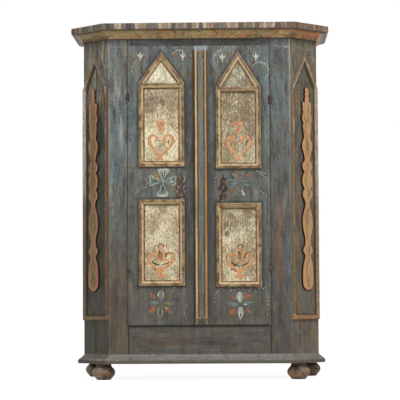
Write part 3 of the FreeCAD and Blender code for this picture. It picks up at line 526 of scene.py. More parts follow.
cant = {"across": 0.5395, "behind": 0.0695, "reach": 0.0983, "gable": 0.174}    # in metres
cantMiddle = (cant["across"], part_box("left_front_stile")[0][1] + cant["behind"])
# The left corner tones are darker than the right, partly as painted shade.
corners = {
    "left": {"outward": -1, "inner": tint(92, 70, 52), "outer": tint(92, 78, 64), "faded": tint(156, 144, 130),
             "ochre": tint(118, 98, 64), "slope": tint(92, 86, 74), "bottom": tint(108, 88, 64),
             "crest": tint(186, 166, 148)},
    "right": {"outward": 1, "inner": tint(110, 92, 70), "outer": tint(132, 112, 88), "faded": tint(152, 138, 114),
              "ochre": tint(122, 106, 76), "slope": tint(108, 96, 80), "bottom": tint(150, 112, 76),
              "crest": tint(204, 184, 158)},
}
cornerDepths = {"broad": (0.004, 0.007, 0.012, 0.016), "narrow": (0.009, 0.011, 0.014, 0.016),
                "inside": (0.0205, 0.0235), "gable": 0.0035, "lowest": (0.026, 0.03)}


def alongCant(paint, outward):                   # grows from the middle of the cant towards the doors
    return ((outward * cantMiddle[0] - paint.x) * outward - (paint.y - cantMiddle[1])) * half


def cornerPaint(side, tone):
    paint = Finish(side + " corner moulding paint")
    low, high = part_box(side + "_corner_moulding")
    shoulder = high[2] - cant["gable"]
    along = alongCant(paint, tone["outward"])
    deep = paint.gabled(cant["reach"] - abs(along), cant["reach"], low[2], high[2], shoulder, tied=False)
    marks = paint.noise((110, 110, 70), 3, 0.6, 3.0)
    hue = paint.noise((22, 22, 12), 3, 0.6, 21.0)
    inner = paint.soft(along, -0.004, 0.004)
    gable = paint.soft(paint.z, shoulder - 0.01, shoulder + 0.02)
    outer = paint.blend(paint.soft(paint.z + hue.spread(0.4), 0.75, 1.15), tone["outer"], tone["faded"])
    paint.colour = paint.blend(inner, outer, tone["inner"])
    paint.lay(gable, paint.blend(inner, tone["ochre"], tone["slope"]))
    paint.lay(paint.fall(paint.z, *(low[2] + rise for rise in cornerDepths["lowest"])), tone["bottom"])
    # painted highlight along the crest of the corner moulding
    broad, narrow = (paint.band(deep, *cornerDepths[key]) for key in ("broad", "narrow"))
    crest = (broad * (1 - gable) + narrow * gable) * paint.soft(hue + gable * inner * 0.3, 0.42, 0.62)
    paint.lay(crest * (paint.soft(paint.z, 1.0, 1.5) * 0.65 + 0.15), tone["crest"])
    paint.dim(marks.spread(1.8) + 1.0)
    # painted shade along the inner edge of the corner frame
    inside = paint.soft(deep, *(depth - cornerDepths["gable"] * gable for depth in cornerDepths["inside"]))
    paint.lay(inside * 0.85, slate["dirt"])
    return paint.use(0.5, marks, 0.3, 0.0008)


for side, tone in corners.items():
    dress([side + "_corner_moulding"], cornerPaint(side, tone))

strip = {
    "field": tint(112, 106, 92), "green": tint(96, 106, 100), "left": tint(188, 162, 118), "right": tint(164, 132, 88),
    "flank": tint(104, 80, 56), "gap": tint(52, 42, 34), "bevel": tint(140, 151, 154), "rust": tint(138, 96, 66),
    "foot": tint(88, 84, 78), "bead": 0.0243, "beadHalf": 0.0098, "lean": 0.0004, "block": 0.036, "deep": 0.020,
}


def stripPaint(name):
    paint = Finish(name)
    low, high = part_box("meeting_strip")
    middle = (low[0] + high[0]) / 2
    across = abs(paint.x - middle)
    streak = paint.noise((140, 140, 8), 4, 0.6)
    cloud = paint.noise((8, 8, 5), 3, 0.6, 4.0)
    marks = paint.noise((150, 150, 90), 3, 0.6, 9.0)
    field = paint.blend(paint.soft(cloud, 0.4, 0.65), strip["field"], strip["green"])
    paint.colour = paint.shade(field, paint.soft(paint.z, 0.4, 1.1) * 0.2 + 0.8)
    crown = paint.blend(paint.soft(paint.x, middle - 0.001, middle + 0.001), strip["left"], strip["right"])
    crown = paint.blend(paint.soft(cloud + streak * 0.4, 0.68, 0.88) * 0.7, crown, strip["rust"])
    # painted highlight on the crest of each bead, leaning to one side, and painted shade on its flanks
    fromBead = abs(across - strip["bead"])
    fromCrest = abs(abs(paint.x - middle + strip["lean"]) - strip["bead"])
    bead = paint.blend(paint.soft(fromCrest, 0.0025, 0.0065), crown, strip["flank"])
    paint.lay(paint.fall(fromBead, strip["beadHalf"] - 0.0004, strip["beadHalf"] + 0.0004), bead)
    paint.dim(streak.spread(1.8) + marks.spread(1.2) + 1.0)
    # painted shade in the creases beside the beads
    paint.lay(paint.line(fromBead - strip["beadHalf"], 0.0008, 0.0024) * 0.85, strip["gap"])
    up = paint.z - low[2]
    rubbed = paint.band(across + up * 0.3, 0.026, 0.028, 0.031, 0.034)    # edges of the block at the foot
    rubbed = rubbed + paint.line(up - strip["block"], 0.0015, 0.004)
    block = paint.blend(rubbed * paint.soft(marks, 0.4, 0.55) * 0.8, strip["foot"], strip["left"])
    block = paint.shade(block, streak.spread(2.0) + 1.0)
    paint.lay(paint.fall(paint.z, low[2] + strip["block"], low[2] + strip["block"] + 0.004) * 0.9, block)
    # painted highlight on the top bevel, which faces up
    paint.lay(paint.soft(paint.z, high[2] - 0.036, high[2] - 0.016) * 0.85, strip["bevel"])
    return paint.use(0.5, streak, 0.3, 0.0008)


dress(["meeting_strip"], stripPaint("meeting strip paint"))


# Sawn balusters: painted face, rosy border, dark sawn edges

# The left face is painted darker than the right, partly as painted shade.
balusters = {
    "left": {"face": tint(120, 100, 70), "border": tint(186, 122, 90), "vine": 0.15, "finial": 1.58, "outward": -1},
    "right": {"face": tint(168, 138, 96), "border": tint(208, 142, 100), "vine": 0.75, "finial": 1.49, "outward": 1},
}
sawn = {"edge": tint(46, 42, 36), "vine": tint(96, 76, 46), "dirt": tint(70, 58, 40), "shift": 0.010,
        "waves": 26.0, "swing": 0.013, "border": 0.028}


def balusterPaint(side, tone):
    paint = Finish(side + " baluster paint")
    streak = paint.noise((60, 60, 14), 4, 0.6)
    marks = paint.noise((130, 130, 80), 3, 0.65, 5.0)
    cloud = paint.noise((14, 14, 6), 2, 0.5, 8.0)
    paint.colour = paint.shade(tone["face"], streak.spread(2.4) + marks.spread(1.8) + 1.02)
    swing = (paint.z * sawn["waves"] + cloud.spread(3.0)).sine() * sawn["swing"]
    vine = paint.line(alongCant(paint, tone["outward"]) + sawn["shift"] - swing, 0.0015, 0.004)
    paint.lay(vine * paint.soft(marks, 0.38, 0.52) * tone["vine"], sawn["vine"])
    rim = paint.soft(paint.edge(sawn["border"]) + marks.spread(0.06), 0.012, 0.05)
    rim = rim * (1 - paint.soft(paint.z, tone["finial"], tone["finial"] + 0.01) * 0.75)
    paint.lay(rim * paint.soft(cloud + marks * 0.3, 0.42, 0.62) * 0.9, tone["border"])
    paint.lay(paint.soft(marks * 0.6 + streak * 0.4, 0.56, 0.64) * 0.7, sawn["dirt"])
    front = paint.facing((tone["outward"] * half, -half, 0), 0.5, 0.8)
    paint.colour = paint.blend(front, sawn["edge"], paint.colour)
    return paint.use(0.5, streak, 0.35)


for side, tone in balusters.items():
    dress([side + "_corner_baluster"], balusterPaint(side, tone))


# Cornice: a board in painted stripes over a marbled cove

stripes = {"width": 0.021, "slant": 0.6, "wobble": 0.02, "red": tint(132, 98, 78),
           "colours": [tint(112, 108, 94), tint(164, 150, 124), tint(112, 100, 98), tint(78, 68, 62),
                       tint(150, 126, 104), tint(174, 164, 136), tint(130, 120, 102), tint(96, 84, 80)]}
cove = {"ochre": tint(160, 144, 108), "yellow": tint(188, 174, 118), "olive": tint(96, 90, 64),
        "line": tint(44, 36, 26), "plum": tint(144, 130, 128), "blotch": tint(206, 114, 66), "edge": 0.009,
        "spacing": 0.21, "start": 0.1, "slants": ((1.3, 0.0), (-1.5, 0.07))}
# The left cove is painted darker than the right, partly as painted shade.
coves = {
    "front": {"warm": tint(172, 132, 90), "lined": 0.9, "blotched": 0.16, "level": 1.06, "lower": 0.15},
    "left": {"warm": tint(150, 104, 64), "lined": 0.0, "blotched": 0.1, "level": 0.86, "lower": 0.6},
    "right": {"warm": tint(172, 128, 80), "lined": 0.0, "blotched": 0.8, "level": 0.95, "lower": 0.15},
}


def cornicePaint(name):
    paint = Finish(name)
    wobble = paint.noise((18, 18, 18), 2, 0.5, 3.0)
    marks = paint.noise((120, 120, 120), 3, 0.6)
    along = paint.x + abs(paint.x) / paint.x * paint.y * stripes["slant"] + wobble * stripes["wobble"]
    step = along / stripes["width"]
    number = paint.add("ShaderNodeMath", {"operation": "FLOOR"}, {0: step})
    pick = paint.add("ShaderNodeTexWhiteNoise", {"noise_dimensions": "1D"}, {"W": number})
    stops = [(place / len(stripes["colours"]), colour) for place, colour in enumerate(stripes["colours"])]
    paint.colour = paint.add("ShaderNodeValToRGB", {"stops": stops}, {"Fac": pick})
    paint.lay(paint.soft(paint.x, 0.3, 0.5) * 0.5, stripes["red"])
    paint.dim(marks.spread(1.8) + 0.9)
    paint.dim(1 - paint.soft(abs(step % 1.0 - 0.5), 0.36, 0.46) * 0.5)
    # painted shade on the left end of the cornice board
    paint.dim(1 - paint.soft(0 - paint.x, 0.48, 0.52) * 0.26)
    paint.lay(paint.facing((0, 0, 1), 0.5, 0.9), pineColour(paint, "x")[0])
    paint.lay(paint.facing((0, 0, -1), 0.5, 0.9) * 0.8, cove["plum"])
    return paint.use(0.5, marks)


def covePaint(name, tone):
    paint = Finish(name)
    low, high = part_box("cornice_front_cove")
    cloud = paint.noise((20, 20, 30), 4, 0.65, 5.0, 0.8)
    hue = paint.noise((9, 9, 30), 3, 0.6, 12.0)
    marks = paint.noise((110, 110, 140), 3, 0.65)
    yellow = paint.noise((13, 13, 24), 3, 0.6, 33.0)
    spots = paint.noise((34, 34, 20), 1, 0.5, 15.0)
    paint.colour = paint.blend(paint.soft(hue, 0.44, 0.58), cove["ochre"], tone["warm"])
    paint.lay(paint.soft(yellow, 0.52, 0.64) * 0.7, cove["yellow"])
    paint.lay(paint.soft(cloud, 0.52, 0.64) * 0.75, cove["olive"])
    for lean, shift in cove["slants"]:
        slant = (paint.x + paint.z * lean + shift + cloud.spread(0.02)) % cove["spacing"]
        line = paint.line(slant - cove["start"], 0.0015, 0.005)
        paint.lay(line * paint.soft(hue + cloud * 0.5, 0.6, 0.8) * tone["lined"], cove["line"])
    paint.lay(paint.soft(spots, 0.47, 0.54) * tone["blotched"], cove["blotch"])
    paint.dim(marks.spread(1.6) + tone["level"])
    # painted shade with dirt: a darker lower band and dark rims at the cove's top and bottom
    paint.lay(paint.fall(paint.z + cloud.spread(0.02), low[2] + 0.014, low[2] + 0.026) * tone["lower"], cove["line"])
    rise = (paint.z - low[2]).least(high[2] - paint.z)
    paint.lay(paint.fall(rise + marks.spread(0.006), 0.001, cove["edge"]) * 0.85, cove["line"])
    sideways = paint.soft(abs(paint.dot(paint.normal, (1, 0, 0))), 0.75, 0.9)
    paint.lay(sideways * 0.85, cove["plum"])
    return paint.use(0.45, marks, 0.25)


dress(["cornice_board"], cornicePaint("striped cornice paint"))
for side, tone in coves.items():
    dress(["cornice_" + side + "_cove"], covePaint(side + " cove paint", tone))


# Feet and iron

turned = {"base": tint(124, 106, 86), "dark": tint(44, 38, 34), "worn": tint(170, 140, 108),
          "grey": tint(136, 132, 122), "rust": tint(158, 110, 74), "belly": (0.03, 0.05), "neck": (0.058, 0.068)}
iron = {"base": tint(92, 80, 74), "dark": tint(44, 38, 36), "rust": tint(126, 88, 70), "plate": tint(108, 82, 74),
        "edge": tint(172, 144, 132)}


def footPaint(name):
    wood = Finish(name)
    streak = wood.noise((40, 40, 110), 4, 0.6)
    cloud = wood.noise((22, 22, 22), 3, 0.6, 4.0)
    hue = wood.noise((30, 30, 44), 3, 0.6, 9.0)
    wood.colour = wood.blend(wood.soft(cloud, 0.48, 0.62) * 0.85, turned["base"], turned["dark"])
    wood.lay(wood.soft(streak, 0.6, 0.75) * 0.7, turned["worn"])
    # grey paint on the upper ball, also a painted highlight
    wood.lay(wood.soft(hue, 0.5, 0.62) * wood.soft(wood.z, *turned["belly"]) * 0.7, turned["grey"])
    wood.lay(wood.soft(1 - hue, 0.48, 0.6) * wood.fall(wood.z, *turned["belly"]) * 0.6, turned["rust"])
    # painted shade on the neck under the base
    wood.lay(wood.soft(wood.z, *turned["neck"]) * 0.8, turned["dark"])
    # painted shade in the corners of the foot
    wood.lay(wood.soft(wood.corner(0.02), 0.25, 0.75) * 0.8, turned["dark"])
    return wood.use(0.5, streak)


def ironSkin(name):
    metal = Finish(name)
    pit = metal.noise((300, 300, 300), 3, 0.6)
    cloud = metal.noise((45, 45, 45), 3, 0.6, 6.0)
    metal.colour = metal.blend(metal.soft(cloud, 0.4, 0.65), iron["dark"], iron["base"])
    metal.lay(metal.soft(pit, 0.52, 0.7) * 0.7, iron["rust"])
    return metal.use(0.5 + pit * 0.2, pit, 0.5, 0.0008, metallic=0.35)


def plateSkin(name):
    metal = Finish(name)
    low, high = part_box("escutcheon")
    pit = metal.noise((260, 260, 260), 3, 0.65, 8.0)
    cloud = metal.noise((60, 60, 60), 3, 0.6, 6.0)
    metal.colour = metal.blend(metal.soft(cloud, 0.4, 0.62), iron["dark"], iron["plate"])
    # painted shade around the keyhole
    hole = metal.patch((low[0] + high[0]) / 2, low[2] * 0.48 + high[2] * 0.52, 0.026, 0.034)
    metal.lay(hole * 0.8, iron["dark"])
    # pale rubbed edges, also a painted highlight on the plate's rims
    worn = metal.soft(metal.edge(0.007) + pit.spread(0.2), 0.06, 0.3)
    metal.lay(worn * metal.soft(cloud + pit * 0.5, 0.62, 0.84), iron["edge"])
    return metal.use(0.45 + pit * 0.2, pit, 0.5, 0.0008, metallic=0.2)


dress(["escutcheon"], plateSkin("keyhole plate iron"))
dress(["left_hinge_pintles", "right_hinge_pintles", "left_door_hinge_knuckles", "right_door_hinge_knuckles",
       "lock_case", "lock_spring", "lock_bolt", "lock_keep", "upper_bolt", "lower_bolt", "bolt_plates"],
      ironSkin("forged iron"))
bunFoot = {"segments": 48, "tenon": (0.014, 0.102), "shoulder": 0.0005, "rounding": 2,
           "rings": [(0.033, 0.0), (0.037, 0.002), (0.0435, 0.0125), (0.0555, 0.024), (0.0595, 0.036), (0.0585, 0.048),
                     (0.0505, 0.060), (0.0385, 0.0685), (0.0385, 0.083), (0.038, 0.084)]}    # radius, height


def addObject(name, data):
    piece = bpy.data.objects.new(name, data)
    bpy.context.scene.collection.objects.link(piece)
    return piece


def select(pieces):
    bpy.ops.object.select_all(action="DESELECT")
    for piece in pieces:
        piece.select_set(True)
    bpy.context.view_layer.objects.active = pieces[0]


def applyPlace():
    bpy.ops.object.transform_apply(location=True, rotation=True, scale=True)


def gather(name, source, spots, turn=0.0):       # copies of one piece, joined
    copies = []
    for spot in spots:
        copy = addObject(name, source.data.copy())
        copy.rotation_euler = (turn, 0, 0)
        copy.location = spot
        copies.append(copy)
    select(copies)
    bpy.ops.object.join()
    applyPlace()
    joined = bpy.context.object
    joined.name = name
    return joined


def turnFoot(name):                              # rings drawn up from a disc, as on a lathe
    bpy.ops.object.select_all(action="DESELECT")
    radius, level = bunFoot["rings"][0]
    tenonRadius, tenonTop = bunFoot["tenon"]
    rings = bunFoot["rings"][1:]
    rings = rings + [(tenonRadius, rings[-1][1] + bunFoot["shoulder"]), (tenonRadius, tenonTop)]
    bpy.ops.mesh.primitive_circle_add(vertices=bunFoot["segments"], radius=radius, fill_type="NGON",
                                      location=(0, 0, 0))
    piece = bpy.context.object
    piece.name = name
    bpy.ops.object.mode_set(mode="EDIT")
    bpy.ops.mesh.select_all(action="SELECT")
    for nextRadius, nextLevel in rings:
        bpy.ops.mesh.extrude_region_move(TRANSFORM_OT_translate={"value": (0, 0, nextLevel - level)})
        bpy.ops.transform.resize(value=(nextRadius / radius, nextRadius / radius, 1))
        radius, level = nextRadius, nextLevel
    bpy.ops.mesh.select_all(action="SELECT")
    bpy.ops.mesh.normals_make_consistent(inside=False)
    bpy.ops.object.mode_set(mode="OBJECT")
    smooth = piece.modifiers.new("rounded", "SUBSURF")
    smooth.levels = smooth.render_levels = bunFoot["rounding"]
    bpy.ops.object.modifier_apply(modifier=smooth.name)
    bpy.ops.object.shade_smooth()
    return piece


firstFoot = turnFoot("first_foot")
firstFoot.data.materials.append(footPaint("turned foot paint"))
for node in ("front_feet", "rear_feet"):
    low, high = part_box(node)
    reach = (high[1] - low[1]) / 2
    middle = (low[1] + high[1]) / 2
    feet = gather("turned_" + node, firstFoot, [(low[0] + reach, middle, 0), (high[0] - reach, middle, 0)])
    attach(feet, "carcass")
    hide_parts(node)
bpy.data.objects.remove(firstFoot)
print("mouldings, cornice, feet and iron painted")


# Brush strokes: thin ribbons of paint that ride on the doors and the carcass

brushes = {                                      # colour, shadow, wear, cover
    "orange": (tint(216, 164, 116), tint(196, 128, 84), 0.19, 0.9),
    "salmon": (tint(206, 158, 122), tint(184, 132, 100), 0.26, 0.8),
    "rust": (tint(158, 108, 74), tint(120, 86, 66), 0.2, 0.9),
    "leaf": (tint(142, 104, 74), tint(110, 86, 66), 0.24, 0.85),
    "ochre": (tint(164, 136, 92), tint(126, 108, 80), 0.2, 0.85),
    "olive": (tint(130, 128, 96), tint(102, 102, 82), 0.2, 0.85),
    "mint": (tint(170, 176, 160), tint(124, 134, 126), 0.2, 0.95),
    "mist": (tint(126, 136, 126), tint(94, 104, 98), 0.22, 0.88),
    "chalk": (tint(206, 208, 192), tint(166, 170, 158), 0.2, 0.92),
    "faint": (tint(122, 120, 106), tint(98, 98, 90), 0.24, 0.8),
    "haze": (tint(140, 146, 138), tint(112, 116, 110), 0.29, 1.0),
    "ink": (tint(74, 74, 62), tint(50, 51, 45), 0.24, 0.9),
    "maroon": (tint(104, 78, 70), tint(68, 52, 49), 0.06, 0.85),
}


def brushPaint(name, colour, shadow, wear, cover):
    paint = Finish(name + " brush paint")
    drag = paint.noise((120, 120, 60), 3, 0.6, 5.0)
    flake = paint.noise((170, 170, 110), 4, 0.7, 12.0)
    grit = paint.noise((420, 420, 280), 2, 0.6, 27.0)
    paint.colour = paint.blend(paint.soft(drag, 0.38, 0.6), shadow, colour)
    paint.dim(grit.spread(0.9) + 1.0)
    solid = paint.soft(flake * 0.7 + grit * 0.3, wear + 0.12, wear + 0.26) * cover
    return paint.use(0.55, drag, 0.3, 0.0005, alpha=solid)


brushMaterials = {name: brushPaint(name, *tone) for name, tone in brushes.items()}
ribbon = {"thickness": 0.0006, "lift": 0.00012, "steps": 8, "sides": 1}


def brushStroke(brush, knots, layer, swell):     # knots in millimetres: across, up, width
    bpy.ops.object.select_all(action="DESELECT")
    bpy.ops.curve.primitive_bezier_curve_add(location=(0, 0, 0))
    stroke = bpy.context.object
    stroke.data.dimensions = "3D"
    stroke.data.resolution_u = ribbon["steps"]
    stroke.data.bevel_depth = 1.0
    stroke.data.bevel_resolution = ribbon["sides"]
    stroke.data.use_fill_caps = True
    spline = stroke.data.splines[0]
    spline.radius_interpolation = "CARDINAL"
    spline.bezier_points.add(len(knots) - 2)
    for point, (across, up, width) in zip(spline.bezier_points, knots):
        point.co = (across / 1000, 0, up / 1000)
        point.radius = width * swell / 2000
        point.handle_left_type = point.handle_right_type = "AUTO"
    widest = max(width for across, up, width in knots) * swell / 1000
    bpy.ops.object.convert(target="MESH")
    stroke = bpy.context.object
    stroke.data.materials.append(brushMaterials[brush])
    stroke.scale = (1, ribbon["thickness"] / widest, 1)
    stroke.location = (0, -ribbon["lift"] * layer, 0)
    return stroke


def paintMotif(name, body, strokes, place, turn=0.0, swell=1.0):
    pieces = [brushStroke(brush, knots, layer + 1, swell) for layer, (brush, knots) in enumerate(strokes)]
    select(pieces)
    applyPlace()
    if len(pieces) > 1:
        bpy.ops.object.join()
    motif = bpy.context.object
    motif.name = name
    motif.rotation_euler = (0, 0, math.radians(turn))
    motif.location = place
    applyPlace()
    bpy.ops.object.mode_set(mode="EDIT")
    bpy.ops.mesh.select_all(action="SELECT")
    bpy.ops.mesh.normals_make_consistent(inside=False)
    bpy.ops.object.mode_set(mode="OBJECT")
    bpy.ops.object.shade_flat()
    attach(motif, body)


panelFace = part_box("left_door_upper_panel")[0][1]
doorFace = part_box("left_door_hinge_stile")[0][1]
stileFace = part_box("left_front_stile")[0][1]

upperUrn = [
    ("ink", [(-30, 44, 2), (-52, 70, 4), (-63, 96, 4), (-56, 126, 3), (-40, 136, 2)]),
    ("ink", [(30, 46, 2), (60, 76, 4), (69, 100, 4), (62, 124, 4), (46, 136, 2)]),
    ("orange", [(-2, 32, 8), (-2, 14, 15), (-2, 3, 34)]),
    ("orange", [(-4, 22, 6), (-22, 44, 10), (-42, 66, 13), (-53, 88, 14), (-55, 107, 13), (-48, 123, 12),
                (-35, 129, 11),
                (-23, 122, 11), (-21, 107, 9), (-28, 98, 4)]),
    ("orange", [(5, 22, 6), (27, 50, 10), (49, 70, 13), (60, 92, 14), (59, 114, 13), (46, 127, 12), (30, 127, 12),
                (17, 114, 12), (18, 99, 11), (32, 93, 5)]),
    ("chalk", [(-2, 140, 4), (-3, 104, 3)]),
    ("salmon", [(0, 192, 26), (1, 172, 14), (2, 150, 6)]),
    ("orange", [(-20, 194, 7), (-12, 170, 6), (-2, 142, 6)]),
    ("orange", [(18, 194, 9), (12, 168, 9), (4, 134, 7)]),
    ("orange", [(-26, 199, 6), (-2, 197, 9), (24, 199, 6)]),
    ("salmon", [(-26, 101, 3), (-8, 103, 4), (10, 99, 3)]),
    ("salmon", [(-13, 74, 2), (-2, 77, 4), (9, 76, 2)]),
    ("ink", [(42, 107, 2), (43, 94, 5), (40, 81, 2)]),
    ("ink", [(20, 97, 3), (17, 90, 4)]),
]
lowerUrn = [
    ("ink", [(-20, 32, 2), (-48, 58, 4), (-67, 92, 4), (-62, 120, 3), (-44, 128, 2)]),
    ("ink", [(24, 44, 2), (56, 68, 3), (71, 98, 4), (66, 120, 3), (48, 130, 2)]),
    ("orange", [(0, 52, 12), (0, 30, 16), (0, 12, 24), (0, 4, 40)]),
    ("orange", [(-28, 6, 5), (0, 8, 12), (33, 6, 5)]),
    ("orange", [(-6, 28, 8), (-22, 42, 12), (-44, 61, 14), (-57, 83, 14), (-61, 101, 13), (-53, 118, 12), (-37, 120, 9),
                (-31, 110, 4)]),
    ("orange", [(6, 28, 8), (29, 57, 12), (52, 72, 14), (64, 94, 14), (63, 112, 12), (52, 121, 10), (37, 116, 8),
                (33, 101, 4)]),
    ("ochre", [(1, 128, 26), (1, 106, 22), (2, 84, 8)]),
    ("orange", [(-11, 142, 9), (-17, 120, 12), (-20, 97, 8)]),
    ("orange", [(16, 142, 10), (18, 118, 12), (10, 92, 8)]),
    ("orange", [(-31, 94, 5), (-15, 89, 9), (2, 84, 6)]),
    ("orange", [(2, 84, 6), (22, 88, 9), (38, 92, 5)]),
    ("ink", [(-10, 150, 2), (-11, 164, 4), (2, 172, 4), (15, 164, 4), (14, 150, 2)]),
    ("orange", [(3, 168, 10), (2, 156, 18), (0, 144, 14)]),
    ("ink", [(-4, 138, 3), (-4, 130, 8), (-4, 122, 3)]),
    ("ink", [(52, 129, 2), (33, 123, 4), (24, 110, 5), (29, 98, 3)]),
    ("ink", [(-44, 86, 3), (-37, 75, 6), (-18, 66, 6), (-2, 62, 3)]),
    ("ink", [(7, 65, 3), (29, 70, 5), (44, 78, 3)]),
    ("ink", [(-46, 52, 1), (-32, 40, 2.5), (-18, 30, 1)]),
]
flaredRosette = [
    ("ochre", [(-12, 9, 5), (-31, 34, 23), (-46, 56, 8)]),
    ("olive", [(18, 12, 4), (42, 31, 15), (63, 46, 5)]),
    ("olive", [(18, -10, 5), (44, -31, 21), (70, -51, 8)]),
    ("faint", [(-20, -14, 5), (-38, -30, 18), (-58, -45, 7)]),
    ("mint", [(0, 8, 8), (4, 34, 30), (6, 52, 56), (6, 60, 46)]),
    ("mist", [(2, 16, 4), (5, 38, 16), (6, 54, 20)]),
    ("mist", [(1, -10, 9), (3, -40, 32), (0, -62, 50), (0, -70, 40)]),
    ("mist", [(-6, 0, 8), (-38, 2, 28), (-56, 5, 50), (-60, 5, 40)]),
    ("mist", [(10, 0, 8), (42, 2, 28), (66, 5, 40)]),
    ("mint", [(-4, 20, 4), (-14, 46, 14), (-18, 60, 14), (4, 62, 10), (30, 59, 15), (22, 42, 10), (10, 20, 4)]),
    ("mint", [(-6, -20, 4), (-14, -48, 8), (-24, -66, 14), (0, -71, 17), (24, -66, 14), (20, -46, 7), (8, -18, 4)]),
    ("mint", [(-12, 6, 3), (-42, 22, 7), (-61, 31, 9), (-62, 6, 6), (-61, -18, 8), (-36, -10, 5), (-12, -4, 3)]),
    ("mint", [(14, 6, 3), (44, 18, 6), (68, 27, 8), (66, 4, 4), (66, -16, 6), (40, -11, 4), (14, -5, 3)]),
    ("chalk", [(-26, 60, 3), (-16, 63, 5), (4, 65, 4), (30, 62, 5)]),
    ("chalk", [(-24, -70, 3), (0, -74, 6), (24, -69, 4)]),
    ("chalk", [(7, 56, 3), (6, 36, 4), (4, 24, 2)]),
    ("chalk", [(34, -2, 3), (46, 1, 6), (56, 2, 3)]),
    ("ink", [(4, 16, 2), (0, 36, 4), (-1, 52, 2)]),
    ("ink", [(12, 52, 2), (10, 34, 3), (6, 18, 1)]),
    ("ink", [(3, -18, 3), (3, -34, 9), (2, -48, 4)]),
    ("ink", [(-52, 8, 3), (-36, 4, 5), (-24, 3, 2)]),
    ("mint", [(-5, 3, 5), (4, 2, 9), (6, -6, 5)]),
]
fadedRosette = [
    ("faint", [(0, 8, 6), (0, 36, 24), (-2, 54, 40)]),
    ("faint", [(-1, -12, 8), (-2, -40, 32), (-4, -64, 54)]),
    ("mist", [(-8, 2, 5), (-34, 12, 12), (-56, 24, 5)]),
    ("mist", [(-14, -3, 4), (-28, -3, 9), (-42, -2, 4)]),
    ("faint", [(10, 0, 6), (32, 2, 14), (48, 4, 8)]),
    ("ochre", [(-12, 20, 3), (-24, 36, 8), (-38, 50, 6)]),
    ("ochre", [(-9, 24, 2), (-15, 38, 6), (-22, 48, 4)]),
    ("rust", [(24, 28, 5), (40, 38, 17), (58, 45, 5)]),
    ("leaf", [(-24, -30, 4), (-40, -42, 15), (-56, -54, 6)]),
    ("leaf", [(28, -26, 3), (42, -40, 8), (54, -50, 4)]),
    ("ochre", [(-18, 53, 3), (-2, 56, 5), (24, 54, 4)]),
    ("olive", [(-14, -36, 2), (-24, -52, 4), (-34, -64, 3)]),
    ("mint", [(10, -34, 3), (18, -52, 12), (24, -66, 8)]),
    ("olive", [(-34, -66, 3), (-8, -68, 4), (22, -68, 3)]),
    ("haze", [(-6, -14, 2), (-18, -44, 4), (-30, -66, 3)]),
    ("haze", [(-4, 12, 2), (-12, 36, 4), (-16, 52, 3)]),
    ("haze", [(4, 12, 2), (10, 36, 4), (18, 52, 3)]),
    ("mist", [(12, 6, 3), (36, 13, 9), (58, 18, 3)]),
    ("mist", [(12, -5, 3), (36, -11, 9), (54, -15, 3)]),
]
lowLeftRosette = [
    ("olive", [(1, 8, 8), (2, 33, 33), (1, 62, 6)]),
    ("olive", [(-3, -20, 8), (-4, -50, 27), (-4, -80, 5)]),
    ("mist", [(-8, -2, 6), (-36, -2, 18), (-58, 0, 5)]),
    ("olive", [(14, -2, 6), (44, -6, 20), (70, -6, 5)]),
    ("rust", [(-24, 18, 8), (-40, 34, 21), (-54, 50, 8)]),
    ("leaf", [(34, 18, 5), (50, 31, 16), (62, 40, 8)]),
    ("rust", [(-18, -22, 8), (-42, -37, 27), (-64, -48, 8)]),
    ("ochre", [(16, -22, 6), (30, -32, 15), (42, -40, 8)]),
    ("rust", [(34, -44, 6), (50, -50, 13), (62, -55, 5)]),
    ("chalk", [(-12, 24, 1), (-12, 42, 5), (-4, 58, 2)]),
    ("mint", [(10, 16, 3), (13, 38, 7), (8, 56, 3)]),
    ("ink", [(-2, -30, 3), (-3, -52, 7), (-3, -64, 3)]),
    ("mint", [(-13, -34, 2), (-15, -52, 4), (-9, -70, 2)]),
    ("mint", [(7, -34, 2), (8, -50, 4), (4, -70, 2)]),
    ("mist", [(-14, 8, 3), (0, 10, 9), (12, 0, 6)]),
]
lowRightRosette = [
    ("mist", [(-9, 1, 8), (-30, 0, 24), (-64, 11, 5)]),
    ("mist", [(15, 3, 8), (40, 8, 15), (68, 13, 4)]),
    ("mint", [(0, 12, 14), (0, 38, 33), (-1, 60, 22), (-1, 66, 10)]),
    ("mint", [(3, -12, 18), (4, -42, 29), (1, -80, 7)]),
    ("rust", [(24, 34, 10), (44, 42, 25), (66, 47, 9)]),
    ("leaf", [(-22, 20, 6), (-36, 36, 15), (-48, 48, 6)]),
    ("rust", [(-18, -22, 12), (-34, -34, 31), (-52, -44, 14)]),
    ("rust", [(33, -24, 6), (46, -34, 15), (62, -48, 6)]),
    ("chalk", [(-2, 20, 3), (-2, 42, 8), (-2, 58, 4)]),
    ("chalk", [(-6, -20, 4), (-6, -40, 5), (-4, -62, 3)]),
    ("ink", [(2, -46, 2), (2, -54, 6), (2, -62, 2)]),
    ("chalk", [(20, 0, 4), (28, 1, 8), (36, 2, 4)]),
    ("olive", [(10, 20, 2), (12, 44, 4), (10, 60, 2)]),
]
motifs = {                                       # body, strokes, place, swell
    "upper_left_urn": ("left_door", upperUrn, (-0.201, panelFace, 1.128), 1.25),
    "upper_right_urn": ("right_door", upperUrn, (0.199, panelFace, 1.1205), 1.25),
    "lower_left_urn": ("left_door", lowerUrn, (-0.203, panelFace, 0.526), 1.25),
    "lower_right_urn": ("right_door", lowerUrn, (0.2035, panelFace, 0.520), 1.25),
    "middle_left_rosette": ("left_door", flaredRosette, (-0.192, doorFace, 1.016), 1.05),
    "middle_right_rosette": ("right_door", fadedRosette, (0.2046, doorFace, 1.007), 1.3),
    "lower_left_rosette": ("left_door", lowLeftRosette, (-0.203, doorFace, 0.398), 1.25),
    "lower_right_rosette": ("right_door", lowRightRosette, (0.203, doorFace, 0.384), 1.15),
}
